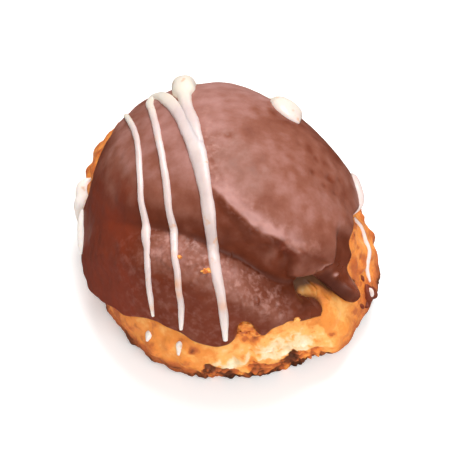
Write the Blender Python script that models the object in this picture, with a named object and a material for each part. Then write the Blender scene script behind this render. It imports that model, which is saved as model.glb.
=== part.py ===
"""Cream puff: a baked choux bun that stands on its flat base, under a set chocolate glaze with white drizzle.

Every surface is a distance from the bun's heart, a point on the vertical axis a little above the base.
Directions from the heart are in degrees, in one of two ways:
- on the bun, azimuth runs round the vertical axis from +X towards +Y, and polar runs down from straight up;
- on the glaze, turn and reach are the same two angles about the crown, the middle of the glaze, which leans
  to the front (-Y). The flat map of the glaze has east = reach cos(turn) and north = reach sin(turn).
"""

import math

import bmesh
import bpy
import numpy as np

MM = 0.001

# Driving dimensions, in metres and degrees
HEART = np.array((1.08, -1.35, 12.0)) * MM  # places the middle of the part's underside at the origin
DOME_X, DOME_Y, DOME_Z = 28.6 * MM, 30.0 * MM, 29.6 * MM  # half sizes of the bun above its heart
UNDER_Z = 40.0 * MM  # half height of the rounder ellipsoid that the bun follows below its heart
SKIRT_SWELL = 3.9 * MM  # how far the bare skirt stands out past the dome
SKIRT_SPREAD = 12.5  # how far above and below its widest line the swell dies away
SKIRT_FOOT = 106.5  # polar angle at which the skirt turns under to the flat base
FOOT_INSET = 2.4 * MM
CRAG_DEPTH, CRAG_SIZE, CRAG_SEED = 0.55 * MM, 6.5 * MM, 3
GRAIN_SHARE, GRAIN_SIZE, GRAIN_SEED = 0.4, 3.9 * MM, 4  # finer crags on top of the crags
SWELL_DEPTH, SWELL_SIZE, SWELL_SEED = 0.5 * MM, 19.0 * MM, 5  # broad unevenness under the crags
CRAG_START, CRAG_FULL = 2.0, 8.0  # how far outside the glaze's edge the crags begin and are full
EDGE_MARGIN = 4.0  # turn on either side over which the crags keep clear of the glaze's edge
TEAR_AZIMUTH, TEAR_POLAR, TEAR_DEPTH = -68.0, 96.0, 0.9 * MM  # where the skirt's skin is torn from its crumb
TEAR_LENGTH, TEAR_WIDTH = 28.0, 4.0
BITE_AZIMUTH, BITE_WIDTH, BITE_DEPTH = -57.0, 8.0, 2.0 * MM  # where a bit of the foot is broken off
BITE_POLARS = 97.0, 103.0
VALLEY_SHARE, VALLEY_SPREAD = 0.75, 8.5  # of the depth of the crease, taken by a broad valley in the bun
BULGE_SHARE, BULGE_SPREAD, BULGE_BELOW = 0.4, 10.0, 17.0  # bulge of the bun, below the crease
CLEFT_SHARE = 0.42  # of the depth of the crease, taken by a sharp cleft in the glaze alone
CLEFT_NORTH, CLEFT_SOUTH = 5.5, 2.8  # how far it spreads above and below
CLEFT_ROUND = 0.6  # roundness of its bottom
LOBES_END = 75.0, 95.0  # reach at which the valley and the bulge start to fade, and are gone
PLATE_STEP = -4.8, 0.0  # where the plate's edge starts to rise and is full, across the edge's line
PLATE_SLOPE, SLOPE_SHARE = (-14.0, -1.5), 0.38  # the longer slope up to it, and its part of the rise
PLATE_FALL, PLATE_FALL_SHARE = (4.0, 38.0), 0.95  # where the plate sinks back behind its edge, and how far
FLANK_EAST, FLANK_NORTH, FLANK_DROP = (40.0, 45.5), (-12.0, -3.0), 0.85  # the plate's low right front
CROWN_LEAN = 25.0
GLAZE_THICK = 2.1 * MM
RIM_THICK = 1.1 * MM  # of the glaze at its very edge
RIM_ROUND = 4.5  # reach over which the glaze rounds up from its edge to full thickness
RIM_RELIEF = 0.35  # part of the glaze's relief that is left at its edge
DRIP_EAST, DRIP_NORTH, DRIP_BULB, DRIP_SPREAD = 58.5, -33.0, 1.8, 4.6  # thick end of the drip; bulb in mm
LIP_TURN, LIP_SPREAD = -39.0, 8.0  # where the lip's edge overhangs the bay
LIP_OVERHANG, OVERHANG_DEPTH = 3.0, 6.0
LIP_EAST, LIP_NORTH = 30.0, -12.0  # a place on the lip, which its outline goes round
LIP_RISE, LIP_DROP, LIP_FACE = 3.1, 1.5, 11.0  # its height in mm, and how far it drops over its face's width
LIP_STEP = -1.8, 1.2  # where the lip's side starts to rise and is full, across its outline
GAP = 0.45 * MM  # between the bun and the glaze
DRIZZLE_SINK = 0.35 * MM  # how deep the drizzle sits in what it lies on

# The rings of points that the two bodies are built of
COLUMNS = 88  # points in each ring
COVERED_POLARS = 7, 14, 21, 28, 35, 42, 49, 56  # polar angles of the bun's rings under the glaze
BARE_POLARS = np.linspace(60, SKIRT_FOOT, 17)  # and on the skirt
BASE_RING = 0.55  # size of the ring inside the flat base
OUTER_SHARES = *np.linspace(0.05, 0.87, 15), 0.92, 0.96, 0.985, 1.0  # shares of the glaze's outer rings
INNER_SHARES = 0.985, 0.93, *np.linspace(0.86, 0.1, 10)
CORE_REACH = 60.0  # reach that the glaze's rings have on average
EDGE_SAMPLES = 2881
LENGTH_SHARE = 0.6  # how far the columns are spread by length along the edge, rather than by turn
STRAND_STEP = 2.6 * MM  # between the sections of a drizzle strand
# A drizzle strand's section, as (part of its width, part of its height); its two feet are sunk
SECTION = (-0.5, None), (-0.46, 0.4), (-0.2, 1.0), (0.2, 1.0), (0.46, 0.4), (0.5, None)

# By azimuth: how far the bun stands out, the polar angle of the skirt's widest line, and the skirt's swell
PLAN = (
    (-172, 1.01), (-90, 1.0), (-40, 1.05), (0, 0.98), (45, 0.92), (65, 0.96), (90, 1.07), (120, 1.13),
    (156, 1.1),
)
WIDEST = ((-165, 98), (-90, 99), (0, 99), (60, 95), (100, 90), (142, 82.5), (165, 92))
SWELL = (
    (-165, 0.4), (-120, 0.75), (-75, 0.9), (-38, 1.25), (-8, 1.25), (30, 0.8), (90, 0.7), (142, 1.1),
    (178, 0.5),
)

# The glaze's edge as (turn, reach): a finger and a bay at the front right, then a drip
EDGE = (
    (-178, 91), (-167, 92.5), (-157, 88), (-151, 82.5), (-145.8, 77), (-138, 70.5), (-128.5, 62.7),
    (-117, 59.7), (-105.5, 60), (-97, 60.8), (-90.8, 59.8), (-87, 57), (-85, 50), (-82, 48.6), (-79, 50.5),
    (-76.5, 55.5), (-74, 56.4), (-68.7, 53.6), (-64, 53.8), (-57.5, 57), (-50.4, 60.7), (-47.6, 61.6),
    (-46, 48), (-42, 43), (-37.5, 44.3), (-35.6, 47), (-35, 54), (-34.8, 60), (-34.3, 64.5), (-33.6, 68.5),
    (-32.4, 71.6), (-30.4, 73.2), (-27.6, 73.3), (-25.4, 71.2), (-23.7, 66), (-21, 61), (-15.8, 60),
    (-11.5, 56.5), (-5.9, 57), (0, 58.5), (5, 67), (12, 77), (25, 82), (40, 87), (60, 97), (75, 101),
    (90, 98), (103, 103), (118, 94), (132, 83), (146, 79.5), (153, 77.5), (158, 78), (163, 81), (168, 85),
    (174, 89),
)

# The crease that parts the upper lobe from the lower bulge, as (east, north), and its depth in mm by east
CREASE = (
    (-73, 1.5), (-38, -6), (-16, -12.5), (-3, -19.5), (5, -22.8), (10, -25.8), (14, -28.2), (20, -31.3),
    (26, -32.5), (45, -31),
)
CREASE_DEPTH = ((-90, 0.3), (-60, 1.0), (-20, 2.4), (10, 3.4), (30, 3.4), (48, 1.4), (70, 0.0))
# The lower left edge of the raised plate on the upper lobe, and the plate's rise in mm there. The first
# number of each pair runs from north-west to south-east; the edge's second from south-west to north-east
PLATE_EDGE = (
    (-60, 34), (-42, 22), (-24, 10.5), (-7, -0.5), (6, -0.6), (12, -0.2), (17, 0.9), (21, 2.9), (25, 4.2),
    (30, 6.3), (34, 9), (38, 11.3), (43, 14), (60, 30),
)
PLATE_RISE = ((-60, 0.0), (-30, 0.5), (-8, 1.6), (8, 2.8), (30, 3.2), (48, 2.6), (62, 0.6))
# Outline of the thick lip over the bay, as (angle, distance) about its own place
LIP_OUTLINE = (
    (-164, 10), (-147, 9.2), (-129, 10.3), (-113, 14.1), (-104, 16.5), (-95, 17), (-82, 16.5), (-69, 16.2),
    (-57, 15.8), (-46, 15.3), (-36, 15.1), (-22, 13.3), (-5, 11.5), (16, 10.6), (60, 11), (150, 10),
)

# Strands of drizzle on the glaze, as (east, north, width in mm, height in mm)
LEFT_LINE = (
    (-57, 70, 0.8, 0.5), (-52, 58.5, 1.2, 0.8), (-45.5, 45.9, 1.4, 0.8), (-41.1, 35.2, 1.4, 0.8),
    (-38.6, 20, 1.4, 0.8), (-37.3, 7.8, 1.5, 0.9), (-37.3, -4.5, 1.7, 0.9), (-36.6, -9.8, 2.2, 1.1),
    (-34.6, -16.5, 1.5, 0.8), (-33.8, -25.8, 1.4, 0.8), (-34.6, -35.8, 1.3, 0.8), (-35.3, -46, 0.7, 0.5),
)
MIDDLE_LOOP = (
    (-21.7, -51.5, 0.8, 0.5), (-21.1, -43.7, 1.4, 0.8), (-20.5, -34.5, 1.5, 0.8), (-20.8, -26.1, 1.5, 0.9),
    (-22.3, -18.5, 1.6, 0.9), (-24.2, -10.8, 1.7, 0.9), (-24.8, -3.3, 1.7, 0.9), (-25, 4.5, 1.7, 0.9),
    (-27.8, 21.5, 1.6, 0.9), (-31.9, 38.8, 1.6, 0.9), (-35.5, 51.5, 1.7, 1.0), (-39, 63, 1.9, 1.0),
    (-38.5, 68.5, 2.2, 1.1), (-34, 65.5, 2.6, 1.2), (-29.7, 57.5, 2.9, 1.2), (-23.6, 44, 3.2, 1.2),
    (-18.6, 32.5, 3.9, 1.3), (-14.2, 21, 4.1, 1.4), (-11.2, 11.5, 3.8, 1.4), (-9.6, 2.5, 3.5, 1.3),
    (-8.5, -6, 3.0, 1.2), (-7.6, -16, 2.7, 1.2), (-5.6, -26, 2.4, 1.1), (-3.4, -36, 2.1, 1.0),
    (-2.5, -44.5, 1.9, 1.0), (-1.8, -55.9, 1.0, 0.6),
)
BACK_LOOP = (
    (-12.9, 22.5, 1.2, 0.7), (-13.6, 29, 2.0, 1.1), (-15.4, 38, 2.3, 1.2), (-17.8, 47, 2.3, 1.3),
    (-20, 55, 2.9, 1.7), (-21.5, 63, 5.2, 3.0), (-22.5, 70, 5.6, 3.4), (-24, 83, 2.8, 1.6),
    (-15, 92, 1.6, 0.9), (-2, 94, 1.6, 0.9), (10, 94.5, 1.6, 0.9), (20, 92, 1.6, 0.9), (26, 84, 1.8, 0.9),
    (27.2, 75, 3.2, 1.2), (27, 67.5, 5.2, 2.2), (27.4, 60, 6.0, 2.7), (28.7, 54, 5.0, 2.3),
    (31, 49.5, 3.2, 1.4), (33.2, 46.5, 1.2, 0.6),
)
RIGHT_COMMA = (
    (71.5, 34, 1.0, 0.6), (70.5, 29, 2.2, 1.2), (69.5, 22, 2.6, 1.4), (70, 14, 2.2, 1.2),
    (68.5, 6.5, 1.0, 0.6),
)
LEFT_DASH = (
    (-83.5, 14, 0.9, 0.6), (-85.5, 8, 1.6, 1.2), (-86.5, 1.5, 1.8, 1.4), (-86.3, -5, 1.7, 1.3),
    (-85.5, -12, 0.9, 0.6),
)
# Strands and drops of drizzle on the bare skirt, as (azimuth, polar, width in mm, height in mm)
RIGHT_STREAK = (
    (-0.8, 75, 0.7, 0.4), (-1.8, 77.5, 1.1, 0.6), (-3.4, 80.8, 1.3, 0.7), (-7, 83.9, 1.3, 0.7),
    (-11.1, 85.8, 1.2, 0.6), (-15.3, 87.6, 1.2, 0.6), (-18.9, 89.8, 1.0, 0.6), (-21.5, 91.5, 0.6, 0.4),
)
LEFT_BLOB = (
    (157, 82, 1.2, 0.8), (161, 84.5, 3.0, 2.4), (165.5, 87.5, 3.6, 3.0), (169.5, 90.5, 2.8, 2.4),
    (173, 93.5, 1.2, 0.9),
)
LEFT_DROP = (-124, 90.6, 0.8, 0.4), (-124, 92.6, 1.5, 0.8), (-124, 95, 0.7, 0.4)
RIGHT_DROP = (-110, 88, 0.8, 0.4), (-110, 91, 1.5, 0.8), (-110, 94.5, 0.7, 0.4)
# A drip of chocolate low on the bare skirt, given in the same way
LOW_DRIP = (-23.5, 90.3, 2.0, 0.8), (-25, 92.8, 3.7, 1.3), (-25.2, 95.8, 3.9, 1.5), (-24, 98.6, 2.4, 1.0)


def heading(azimuth, polar):
    """Unit directions from the heart, at azimuths and polar angles in degrees."""
    azimuth, polar = np.broadcast_arrays(np.radians(azimuth), np.radians(polar))
    flat = np.sin(polar)
    return np.stack((flat * np.cos(azimuth), flat * np.sin(azimuth), np.cos(polar)), axis=-1)


def tilt(direction, angle):
    """Directions turned about the X axis; a positive angle in degrees tips straight up to the front."""
    across, along, up = np.moveaxis(direction, -1, 0)
    cosine, sine = math.cos(math.radians(angle)), math.sin(math.radians(angle))
    return np.stack((across, along * cosine - up * sine, along * sine + up * cosine), axis=-1)


def angles(direction):
    """Azimuth and polar angle, in degrees, of unit directions."""
    across, along, up = np.moveaxis(direction, -1, 0)
    return np.degrees(np.arctan2(along, across)), np.degrees(np.arccos(np.clip(up, -1.0, 1.0)))


def on_glaze(turn, reach):
    """Unit directions from the heart, at turns and reaches about the crown."""
    return tilt(heading(turn, reach), CROWN_LEAN)


def crown_angles(direction):
    """Turn and reach of unit directions."""
    return angles(tilt(direction, -CROWN_LEAN))


def crown_map(direction):
    """East and north of unit directions on the flat map of the glaze."""
    turn, reach = crown_angles(direction)
    return reach * np.cos(np.radians(turn)), reach * np.sin(np.radians(turn))


def curve(knots, place):
    """Values at places along the smooth curve through (place, value) knots, which never overshoots them."""
    at, value = np.array(knots, dtype=float).T
    step = np.diff(at)
    rise = np.diff(value) / step
    slope = np.zeros(len(at))
    steady = rise[:-1] * rise[1:] > 0
    slope[1:-1][steady] = 2 * (rise[:-1] * rise[1:])[steady] / (rise[:-1] + rise[1:])[steady]
    place = np.clip(place, at[0], at[-1])
    left = np.clip(np.searchsorted(at, place, side="right") - 1, 0, len(step) - 1)
    part = (place - at[left]) / step[left]
    rest = 1 - part
    ends = value[left] * rest**2 * (1 + 2 * part) + value[left + 1] * part**2 * (1 + 2 * rest)
    return ends + step[left] * part * rest * (slope[left] * rest - slope[left + 1] * part)


def around(knots, angle):
    """Values at angles in degrees of the smooth closed curve through (angle, value) knots."""
    before = [(at - 360, value) for at, value in knots[-2:]]
    after = [(at + 360, value) for at, value in knots[:2]]
    first = knots[0][0]
    return curve([*before, *knots, *after], (angle - first) % 360 + first)


def ease(value, low, high):
    """0 below low, 1 above high and an S-shaped rise between them."""
    part = np.clip((value - low) / (high - low), 0.0, 1.0)
    return part * part * (3 - 2 * part)


def hump(offset, width):
    """1 at no offset, falling smoothly to nothing over about twice the width on either side."""
    return np.exp(-((offset / width) ** 2))


def rumple(points, size, seed):
    """Smooth random relief, mostly between -1 and 1, whose bumps are about half of size across."""
    dice = np.random.default_rng(seed)
    waves = dice.normal(size=(24, 3))
    waves *= 2 * math.pi / size / np.linalg.norm(waves, axis=1, keepdims=True)
    phases = dice.uniform(0, 2 * math.pi, 24)
    return np.cos(points @ waves.T + phases).sum(axis=-1) / math.sqrt(24)


def lobes(direction):
    """Relief that the bun and its glaze share: a broad valley along the crease and a bulge below it."""
    east, north = crown_map(direction)
    above = north - curve(CREASE, east)
    shape = BULGE_SHARE * hump(above + BULGE_BELOW, BULGE_SPREAD) - VALLEY_SHARE * hump(above, VALLEY_SPREAD)
    return MM * curve(CREASE_DEPTH, east) * shape * (1 - ease(np.hypot(east, north), *LOBES_END))


def bun_radius(direction):
    """Distance from the heart to the bun's skin without its crags, before the base cuts it off."""
    azimuth, polar = angles(direction)
    half_height = np.where(direction[..., 2] > 0, DOME_Z, UNDER_Z)
    squares = (direction[..., 0] / DOME_X) ** 2 + (direction[..., 1] / DOME_Y) ** 2
    dome = 1 / np.sqrt(squares + (direction[..., 2] / half_height) ** 2)
    plan = 1 + (around(PLAN, azimuth) - 1) * np.sin(np.radians(polar)) ** 2
    skirt = SKIRT_SWELL * around(SWELL, azimuth) * hump(polar - around(WIDEST, azimuth), SKIRT_SPREAD)
    return dome * plan + skirt + lobes(direction)


def bare(direction):
    """1 where the skin of the bun lies open and 0 under the glaze and close beside it."""
    turn, reach = crown_angles(direction)
    nearby = [around(EDGE, turn + aside) for aside in (-EDGE_MARGIN, 0.0, EDGE_MARGIN)]
    return ease(reach - np.max(nearby, axis=0), CRAG_START, CRAG_FULL)


def bun_skin(direction):
    """Points of the bun's skin, with crags and a tear where the glaze leaves it bare."""
    azimuth, polar = angles(direction)
    smooth = direction * bun_radius(direction)[..., None]
    crags = np.abs(rumple(smooth, CRAG_SIZE, CRAG_SEED)) - 0.5
    crags += GRAIN_SHARE * rumple(smooth, GRAIN_SIZE, GRAIN_SEED)
    tear = hump(azimuth - TEAR_AZIMUTH, TEAR_LENGTH) * hump(polar - TEAR_POLAR - crags, TEAR_WIDTH)
    swell = SWELL_DEPTH * rumple(smooth, SWELL_SIZE, SWELL_SEED)
    bite = hump(azimuth - BITE_AZIMUTH, BITE_WIDTH) * ease(polar, *BITE_POLARS)
    relief = CRAG_DEPTH * crags + swell - TEAR_DEPTH * tear - BITE_DEPTH * bite
    return smooth + direction * (bare(direction) * relief)[..., None]


def lip_shape(east, north):
    """How far places are on the lip, from 0 to 1, and the lip's rise there in mm."""
    aside, ahead = east - LIP_EAST, north - LIP_NORTH
    within = around(LIP_OUTLINE, np.degrees(np.arctan2(ahead, aside))) - np.hypot(aside, ahead)
    share = ease(within, *LIP_STEP)
    return share, share * (LIP_RISE - LIP_DROP * (1 - np.clip(within / LIP_FACE, 0, 1)))


def glaze_relief(direction):
    """Relief of the glaze alone: the plate, its lip, the sharp bottom of the crease, and the thick drip."""
    east, north = crown_map(direction)
    above = north - curve(CREASE, east)
    spread = np.where(above > 0, CLEFT_NORTH, CLEFT_SOUTH)
    sharpness = np.exp(CLEFT_ROUND - np.hypot(above / spread, CLEFT_ROUND))
    along = (east - north) / math.sqrt(2)
    across = (east + north) / math.sqrt(2) - curve(PLATE_EDGE, along)
    shape = (1 - SLOPE_SHARE) * ease(across, *PLATE_STEP) + SLOPE_SHARE * ease(across, *PLATE_SLOPE)
    plate = curve(PLATE_RISE, along) * (shape - PLATE_FALL_SHARE * ease(across, *PLATE_FALL))
    plate *= 1 - FLANK_DROP * ease(east, *FLANK_EAST) * (1 - ease(north, *FLANK_NORTH))
    on_lip, lip = lip_shape(east, north)
    cleft = CLEFT_SHARE * curve(CREASE_DEPTH, east) * sharpness * (1 - on_lip)
    drip = DRIP_BULB * hump(np.hypot(east - DRIP_EAST, north - DRIP_NORTH), DRIP_SPREAD)
    return MM * (np.maximum(plate, lip) - cleft + drip)


def shared_reach(turn, share):
    """Reach at a share of the way from the crown, 0, to the glaze's edge, 1; round about the crown."""
    return share * (CORE_REACH + (around(EDGE, turn) - CORE_REACH) * share)


def glaze_radius(direction, turn, inside):
    """Distance to the glaze's outer skin, inside degrees in from its edge."""
    round_up = np.sqrt(1 - (1 - np.clip(inside / RIM_ROUND, 0, 1)) ** 2)
    relief = glaze_relief(direction) * (RIM_RELIEF + (1 - RIM_RELIEF) * round_up)
    return bun_radius(direction) + GAP + RIM_THICK + (GLAZE_THICK - RIM_THICK) * round_up + relief


def glaze_skin(turn, share):
    """Points of the glaze's outer skin: share runs from 0 at the crown to 1 at the edge."""
    reach = shared_reach(turn, share)
    inside = around(EDGE, turn) - reach
    overhang = LIP_OVERHANG * hump(turn - LIP_TURN, LIP_SPREAD) * hump(inside, OVERHANG_DEPTH)
    direction = on_glaze(turn, reach + overhang)
    return direction * glaze_radius(direction, turn, inside)[..., None]


def glaze_point(east, north):
    """Points of the glaze's outer skin at places on its flat map."""
    turn, reach = np.degrees(np.arctan2(north, east)), np.hypot(east, north)
    direction = on_glaze(turn, reach)
    return direction * glaze_radius(direction, turn, around(EDGE, turn) - reach)[..., None]


def bun_point(azimuth, polar):
    """Points of the bun's skin at azimuths and polar angles."""
    return bun_skin(heading(azimuth, polar))


def even_turns():
    """Turns of the glaze's columns, which part its edge into stretches of much the same length."""
    turn = np.linspace(-180, 180, EDGE_SAMPLES)
    steps = np.linalg.norm(np.diff(glaze_skin(turn, 1.0), axis=0), axis=1)
    length = np.concatenate(((0.0,), np.cumsum(steps)))
    progress = LENGTH_SHARE * length / length[-1] + (1 - LENGTH_SHARE) * (turn + 180) / 360
    return np.interp(np.arange(COLUMNS) / COLUMNS, progress, turn)


def closed_body(name, rings, material):
    """One closed body through rings of as many points each, which closes in a single point at either end."""
    mesh = bmesh.new()
    loops = [[mesh.verts.new(HEART + point) for point in ring] for ring in rings]
    for upper, lower in zip(loops, loops[1:]):
        for index in range(len(upper)):
            following = (index + 1) % len(upper)
            mesh.faces.new((upper[index], lower[index], lower[following], upper[following]))
    for loop, ring, turned in ((loops[0], rings[0], False), (loops[-1], rings[-1], True)):
        middle = mesh.verts.new(HEART + np.mean(ring, axis=0))
        for index, vertex in enumerate(loop):
            following = loop[(index + 1) % len(loop)]
            mesh.faces.new((middle, following, vertex) if turned else (middle, vertex, following))
    bmesh.ops.triangulate(mesh, faces=mesh.faces, quad_method="SHORT_EDGE")
    data = bpy.data.meshes.new(name)
    mesh.to_mesh(data)
    mesh.free()
    data.materials.append(material)
    data.shade_smooth()
    piece = bpy.data.objects.new(name, data)
    bpy.context.scene.collection.objects.link(piece)
    return piece


def strand(place, stations):
    """Rings of a strand of drizzle through its stations, on the skin that a place function gives."""
    first, second, width, height = np.array(stations, dtype=float).T
    steps = np.linalg.norm(np.diff(place(first, second), axis=0), axis=1)
    length = np.concatenate(((0.0,), np.cumsum(steps)))
    at = np.linspace(0, length[-1], max(4, round(length[-1] / STRAND_STEP)) + 1)
    rows = (first, second, width, height)
    first, second, width, height = (curve(tuple(zip(length, row)), at) for row in rows)
    middle = place(first, second)
    skin_normal = np.cross(place(first + 0.5, second) - middle, place(first, second + 0.5) - middle)
    skin_normal *= np.sign((skin_normal * middle).sum(axis=1))[:, None]
    skin_normal /= np.linalg.norm(skin_normal, axis=1)[:, None]
    aside = np.cross(np.gradient(middle, axis=0), skin_normal)
    aside /= np.linalg.norm(aside, axis=1)[:, None]
    sides = []
    for out, up in SECTION:
        rise = -DRIZZLE_SINK + 0 * height if up is None else up * height * MM
        sides.append(middle + aside * (out * width * MM)[:, None] + skin_normal * rise[:, None])
    return np.stack(sides, axis=1)


def fuse(piece, additions):
    """Join added bodies to a piece by one union, then remove them."""
    group = bpy.data.collections.new(piece.name + "_additions")
    for addition in additions:
        group.objects.link(addition)
    union = piece.modifiers.new("union", "BOOLEAN")
    union.operation = "UNION"
    union.operand_type = "COLLECTION"
    union.collection = group
    union.solver = "EXACT"
    joined = bpy.data.meshes.new_from_object(piece.evaluated_get(bpy.context.evaluated_depsgraph_get()))
    piece.modifiers.remove(union)
    joined.materials.clear()
    joined.materials.append(piece.data.materials[0])
    joined.polygons.foreach_set("material_index", [0] * len(joined.polygons))
    piece.data = joined
    piece.data.name = piece.name
    for addition in additions:
        bpy.data.objects.remove(addition)
    bpy.data.collections.remove(group)


def finish(name, colour, roughness):
    """A plain material with a colour and a roughness."""
    material = bpy.data.materials.new(name)
    material.use_nodes = True
    shader = material.node_tree.nodes["Principled BSDF"]
    shader.inputs["Base Color"].default_value = (*colour, 1.0)
    shader.inputs["Roughness"].default_value = roughness
    shader.inputs["Metallic"].default_value = 0.0
    return material


def make_bun():
    """The choux bun: coarse under the glaze, finer on the bare skirt, flat below, with drizzle and a drip."""
    dough = finish("baked_choux", (0.62, 0.27, 0.07), 0.6)
    azimuth = np.arange(COLUMNS) * 360 / COLUMNS
    rings = [bun_point(azimuth, polar) for polar in (*COVERED_POLARS, *BARE_POLARS)]
    foot = rings[-1] - FOOT_INSET * heading(azimuth, 90)
    foot[:, 2] = -HEART[2]
    rings.append(foot)
    rings.append(foot.mean(axis=0) * (1 - BASE_RING) + foot * BASE_RING)
    bun = closed_body("choux_bun", rings, dough)
    additions = RIGHT_STREAK, LEFT_BLOB, LEFT_DROP, RIGHT_DROP, LOW_DRIP
    fuse(bun, [closed_body("strand", strand(bun_point, stations), dough) for stations in additions])


def make_glaze():
    """The chocolate glaze: an outer skin with a rounded rim over an inner skin that clears the bun."""
    chocolate = finish("milk_chocolate", (0.27, 0.1, 0.06), 0.35)
    turn = even_turns()
    rings = [glaze_skin(turn, share) for share in OUTER_SHARES]
    for share in INNER_SHARES:
        direction = on_glaze(turn, shared_reach(turn, share))
        rings.append(direction * (bun_radius(direction) + GAP)[:, None])
    glaze = closed_body("chocolate_glaze", rings, chocolate)
    additions = LEFT_LINE, MIDDLE_LOOP, BACK_LOOP, RIGHT_COMMA, LEFT_DASH
    fuse(glaze, [closed_body("strand", strand(glaze_point, stations), chocolate) for stations in additions])


def main():
    for piece in list(bpy.data.objects):
        bpy.data.objects.remove(piece)
    make_bun()
    make_glaze()


main()
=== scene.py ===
"""The look of the cream puff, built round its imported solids.

The forms are those of the solids, drawn much finer: every surface is a distance from the bun's heart, in
millimetres; mesh_piece turns them into metres. Directions from the heart are in degrees, in one of two ways:
- on the bun, azimuth runs round the vertical axis from +X towards +Y, and polar runs down from straight up;
- on the glaze, turn and reach are the same two angles about the crown, the middle of the glaze, which leans
  to the front (-Y). The flat map of the glaze has east = reach cos(turn) and north = reach sin(turn).
"""

import math

import bmesh
import bpy
import numpy as np
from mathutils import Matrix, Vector, kdtree


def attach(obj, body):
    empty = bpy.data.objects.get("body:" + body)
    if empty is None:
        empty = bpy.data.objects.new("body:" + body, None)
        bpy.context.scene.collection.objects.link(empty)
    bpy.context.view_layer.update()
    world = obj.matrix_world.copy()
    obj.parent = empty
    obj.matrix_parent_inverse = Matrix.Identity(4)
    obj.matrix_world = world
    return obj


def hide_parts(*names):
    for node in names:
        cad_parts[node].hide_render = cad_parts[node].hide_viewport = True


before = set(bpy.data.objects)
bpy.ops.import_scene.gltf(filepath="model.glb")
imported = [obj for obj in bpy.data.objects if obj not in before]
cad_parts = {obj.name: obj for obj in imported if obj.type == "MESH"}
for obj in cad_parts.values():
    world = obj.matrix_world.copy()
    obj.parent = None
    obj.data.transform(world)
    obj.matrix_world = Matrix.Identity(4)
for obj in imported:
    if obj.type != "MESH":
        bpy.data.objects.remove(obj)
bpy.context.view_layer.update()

MM = 0.001

# ---- Forms that the solids have too, named as in their source, where comments say more ----

HEART = np.array((1.08, -1.35, 12))
DOME_X, DOME_Y, DOME_Z = 28.6, 30, 29.6
UNDER_Z = 40
SKIRT_SWELL, SKIRT_SPREAD = 3.9, 12.5
SKIRT_FOOT, FOOT_INSET = 106.5, 2.4
CRAG_DEPTH, CRAG_SIZE, CRAG_SEED = 0.55, 6.5, 3
GRAIN_SHARE, GRAIN_SIZE, GRAIN_SEED = 0.4, 3.9, 4
SWELL_DEPTH, SWELL_SIZE, SWELL_SEED = 0.5, 19, 5
CRAG_START, CRAG_FULL = 2, 8
EDGE_MARGIN = 4
TEAR_AZIMUTH, TEAR_POLAR, TEAR_DEPTH = -68, 96, 0.9
TEAR_LENGTH, TEAR_WIDTH = 28, 4
BITE_AZIMUTH, BITE_WIDTH, BITE_DEPTH, BITE_POLARS = -57, 8, 2, (97, 103)
VALLEY_SHARE, VALLEY_SPREAD = 0.75, 8.5
BULGE_SHARE, BULGE_SPREAD, BULGE_BELOW = 0.4, 10, 17
CLEFT_SHARE, CLEFT_ROUND = 0.42, 0.6
CLEFT_NORTH, CLEFT_SOUTH = 5.5, 2.8
LOBES_END = 75, 95
PLATE_STEP = -4.8, 0
PLATE_SLOPE, SLOPE_SHARE = (-14, -1.5), 0.38
PLATE_FALL, PLATE_FALL_SHARE = (4, 38), 0.95
FLANK_EAST, FLANK_NORTH, FLANK_DROP = (40, 45.5), (-12, -3), 0.85
CROWN_LEAN = 25
GLAZE_THICK = 2.1
RIM_RELIEF = 0.35
DRIP_EAST, DRIP_NORTH, DRIP_BULB, DRIP_SPREAD = 58.5, -33, 1.8, 4.6
LIP_TURN, LIP_SPREAD = -39, 8
LIP_OVERHANG, OVERHANG_DEPTH = 3, 6
LIP_EAST, LIP_NORTH = 30, -12
LIP_RISE, LIP_DROP, LIP_FACE = 3.1, 1.5, 11
LIP_STEP = -1.8, 1.2
GAP = 0.45

# By azimuth: how far the bun stands out, the polar angle of the skirt's widest line, and the skirt's swell
PLAN = (
    (-172, 1.01), (-90, 1), (-40, 1.05), (0, 0.98), (45, 0.92), (65, 0.96), (90, 1.07), (120, 1.13),
    (156, 1.1),
)
WIDEST = ((-165, 98), (-90, 99), (0, 99), (60, 95), (100, 90), (142, 82.5), (165, 92))
SWELL = (
    (-165, 0.4), (-120, 0.75), (-75, 0.9), (-38, 1.25), (-8, 1.25), (30, 0.8), (90, 0.7), (142, 1.1),
    (178, 0.5),
)
# The glaze's edge, as (turn, reach): a finger and a bay at the front right, then a drip
EDGE = (
    (-178, 91), (-167, 92.5), (-157, 88), (-151, 82.5), (-145.8, 77), (-138, 70.5), (-128.5, 62.7),
    (-117, 59.7), (-105.5, 60), (-97, 60.8), (-90.8, 59.8), (-87, 57), (-85, 50), (-82, 48.6), (-79, 50.5),
    (-76.5, 55.5), (-74, 56.4), (-68.7, 53.6), (-64, 53.8), (-57.5, 57), (-50.4, 60.7), (-47.6, 61.6),
    (-46, 48), (-42, 43), (-37.5, 44.3), (-35.6, 47), (-35, 54), (-34.8, 60), (-34.3, 64.5), (-33.6, 68.5),
    (-32.4, 71.6), (-30.4, 73.2), (-27.6, 73.3), (-25.4, 71.2), (-23.7, 66), (-21, 61), (-15.8, 60),
    (-11.5, 56.5), (-5.9, 57), (0, 58.5), (5, 67), (12, 77), (25, 82), (40, 87), (60, 97), (75, 101),
    (90, 98), (103, 103), (118, 94), (132, 83), (146, 79.5), (153, 77.5), (158, 78), (163, 81), (168, 85),
    (174, 89),
)
# The crease that parts the upper lobe from the lower bulge, as (east, north), and its depth by east
CREASE = (
    (-73, 1.5), (-38, -6), (-16, -12.5), (-3, -19.5), (5, -22.8), (10, -25.8), (14, -28.2), (20, -31.3),
    (26, -32.5), (45, -31),
)
CREASE_DEPTH = ((-90, 0.3), (-60, 1), (-20, 2.4), (10, 3.4), (30, 3.4), (48, 1.4), (70, 0))
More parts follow.
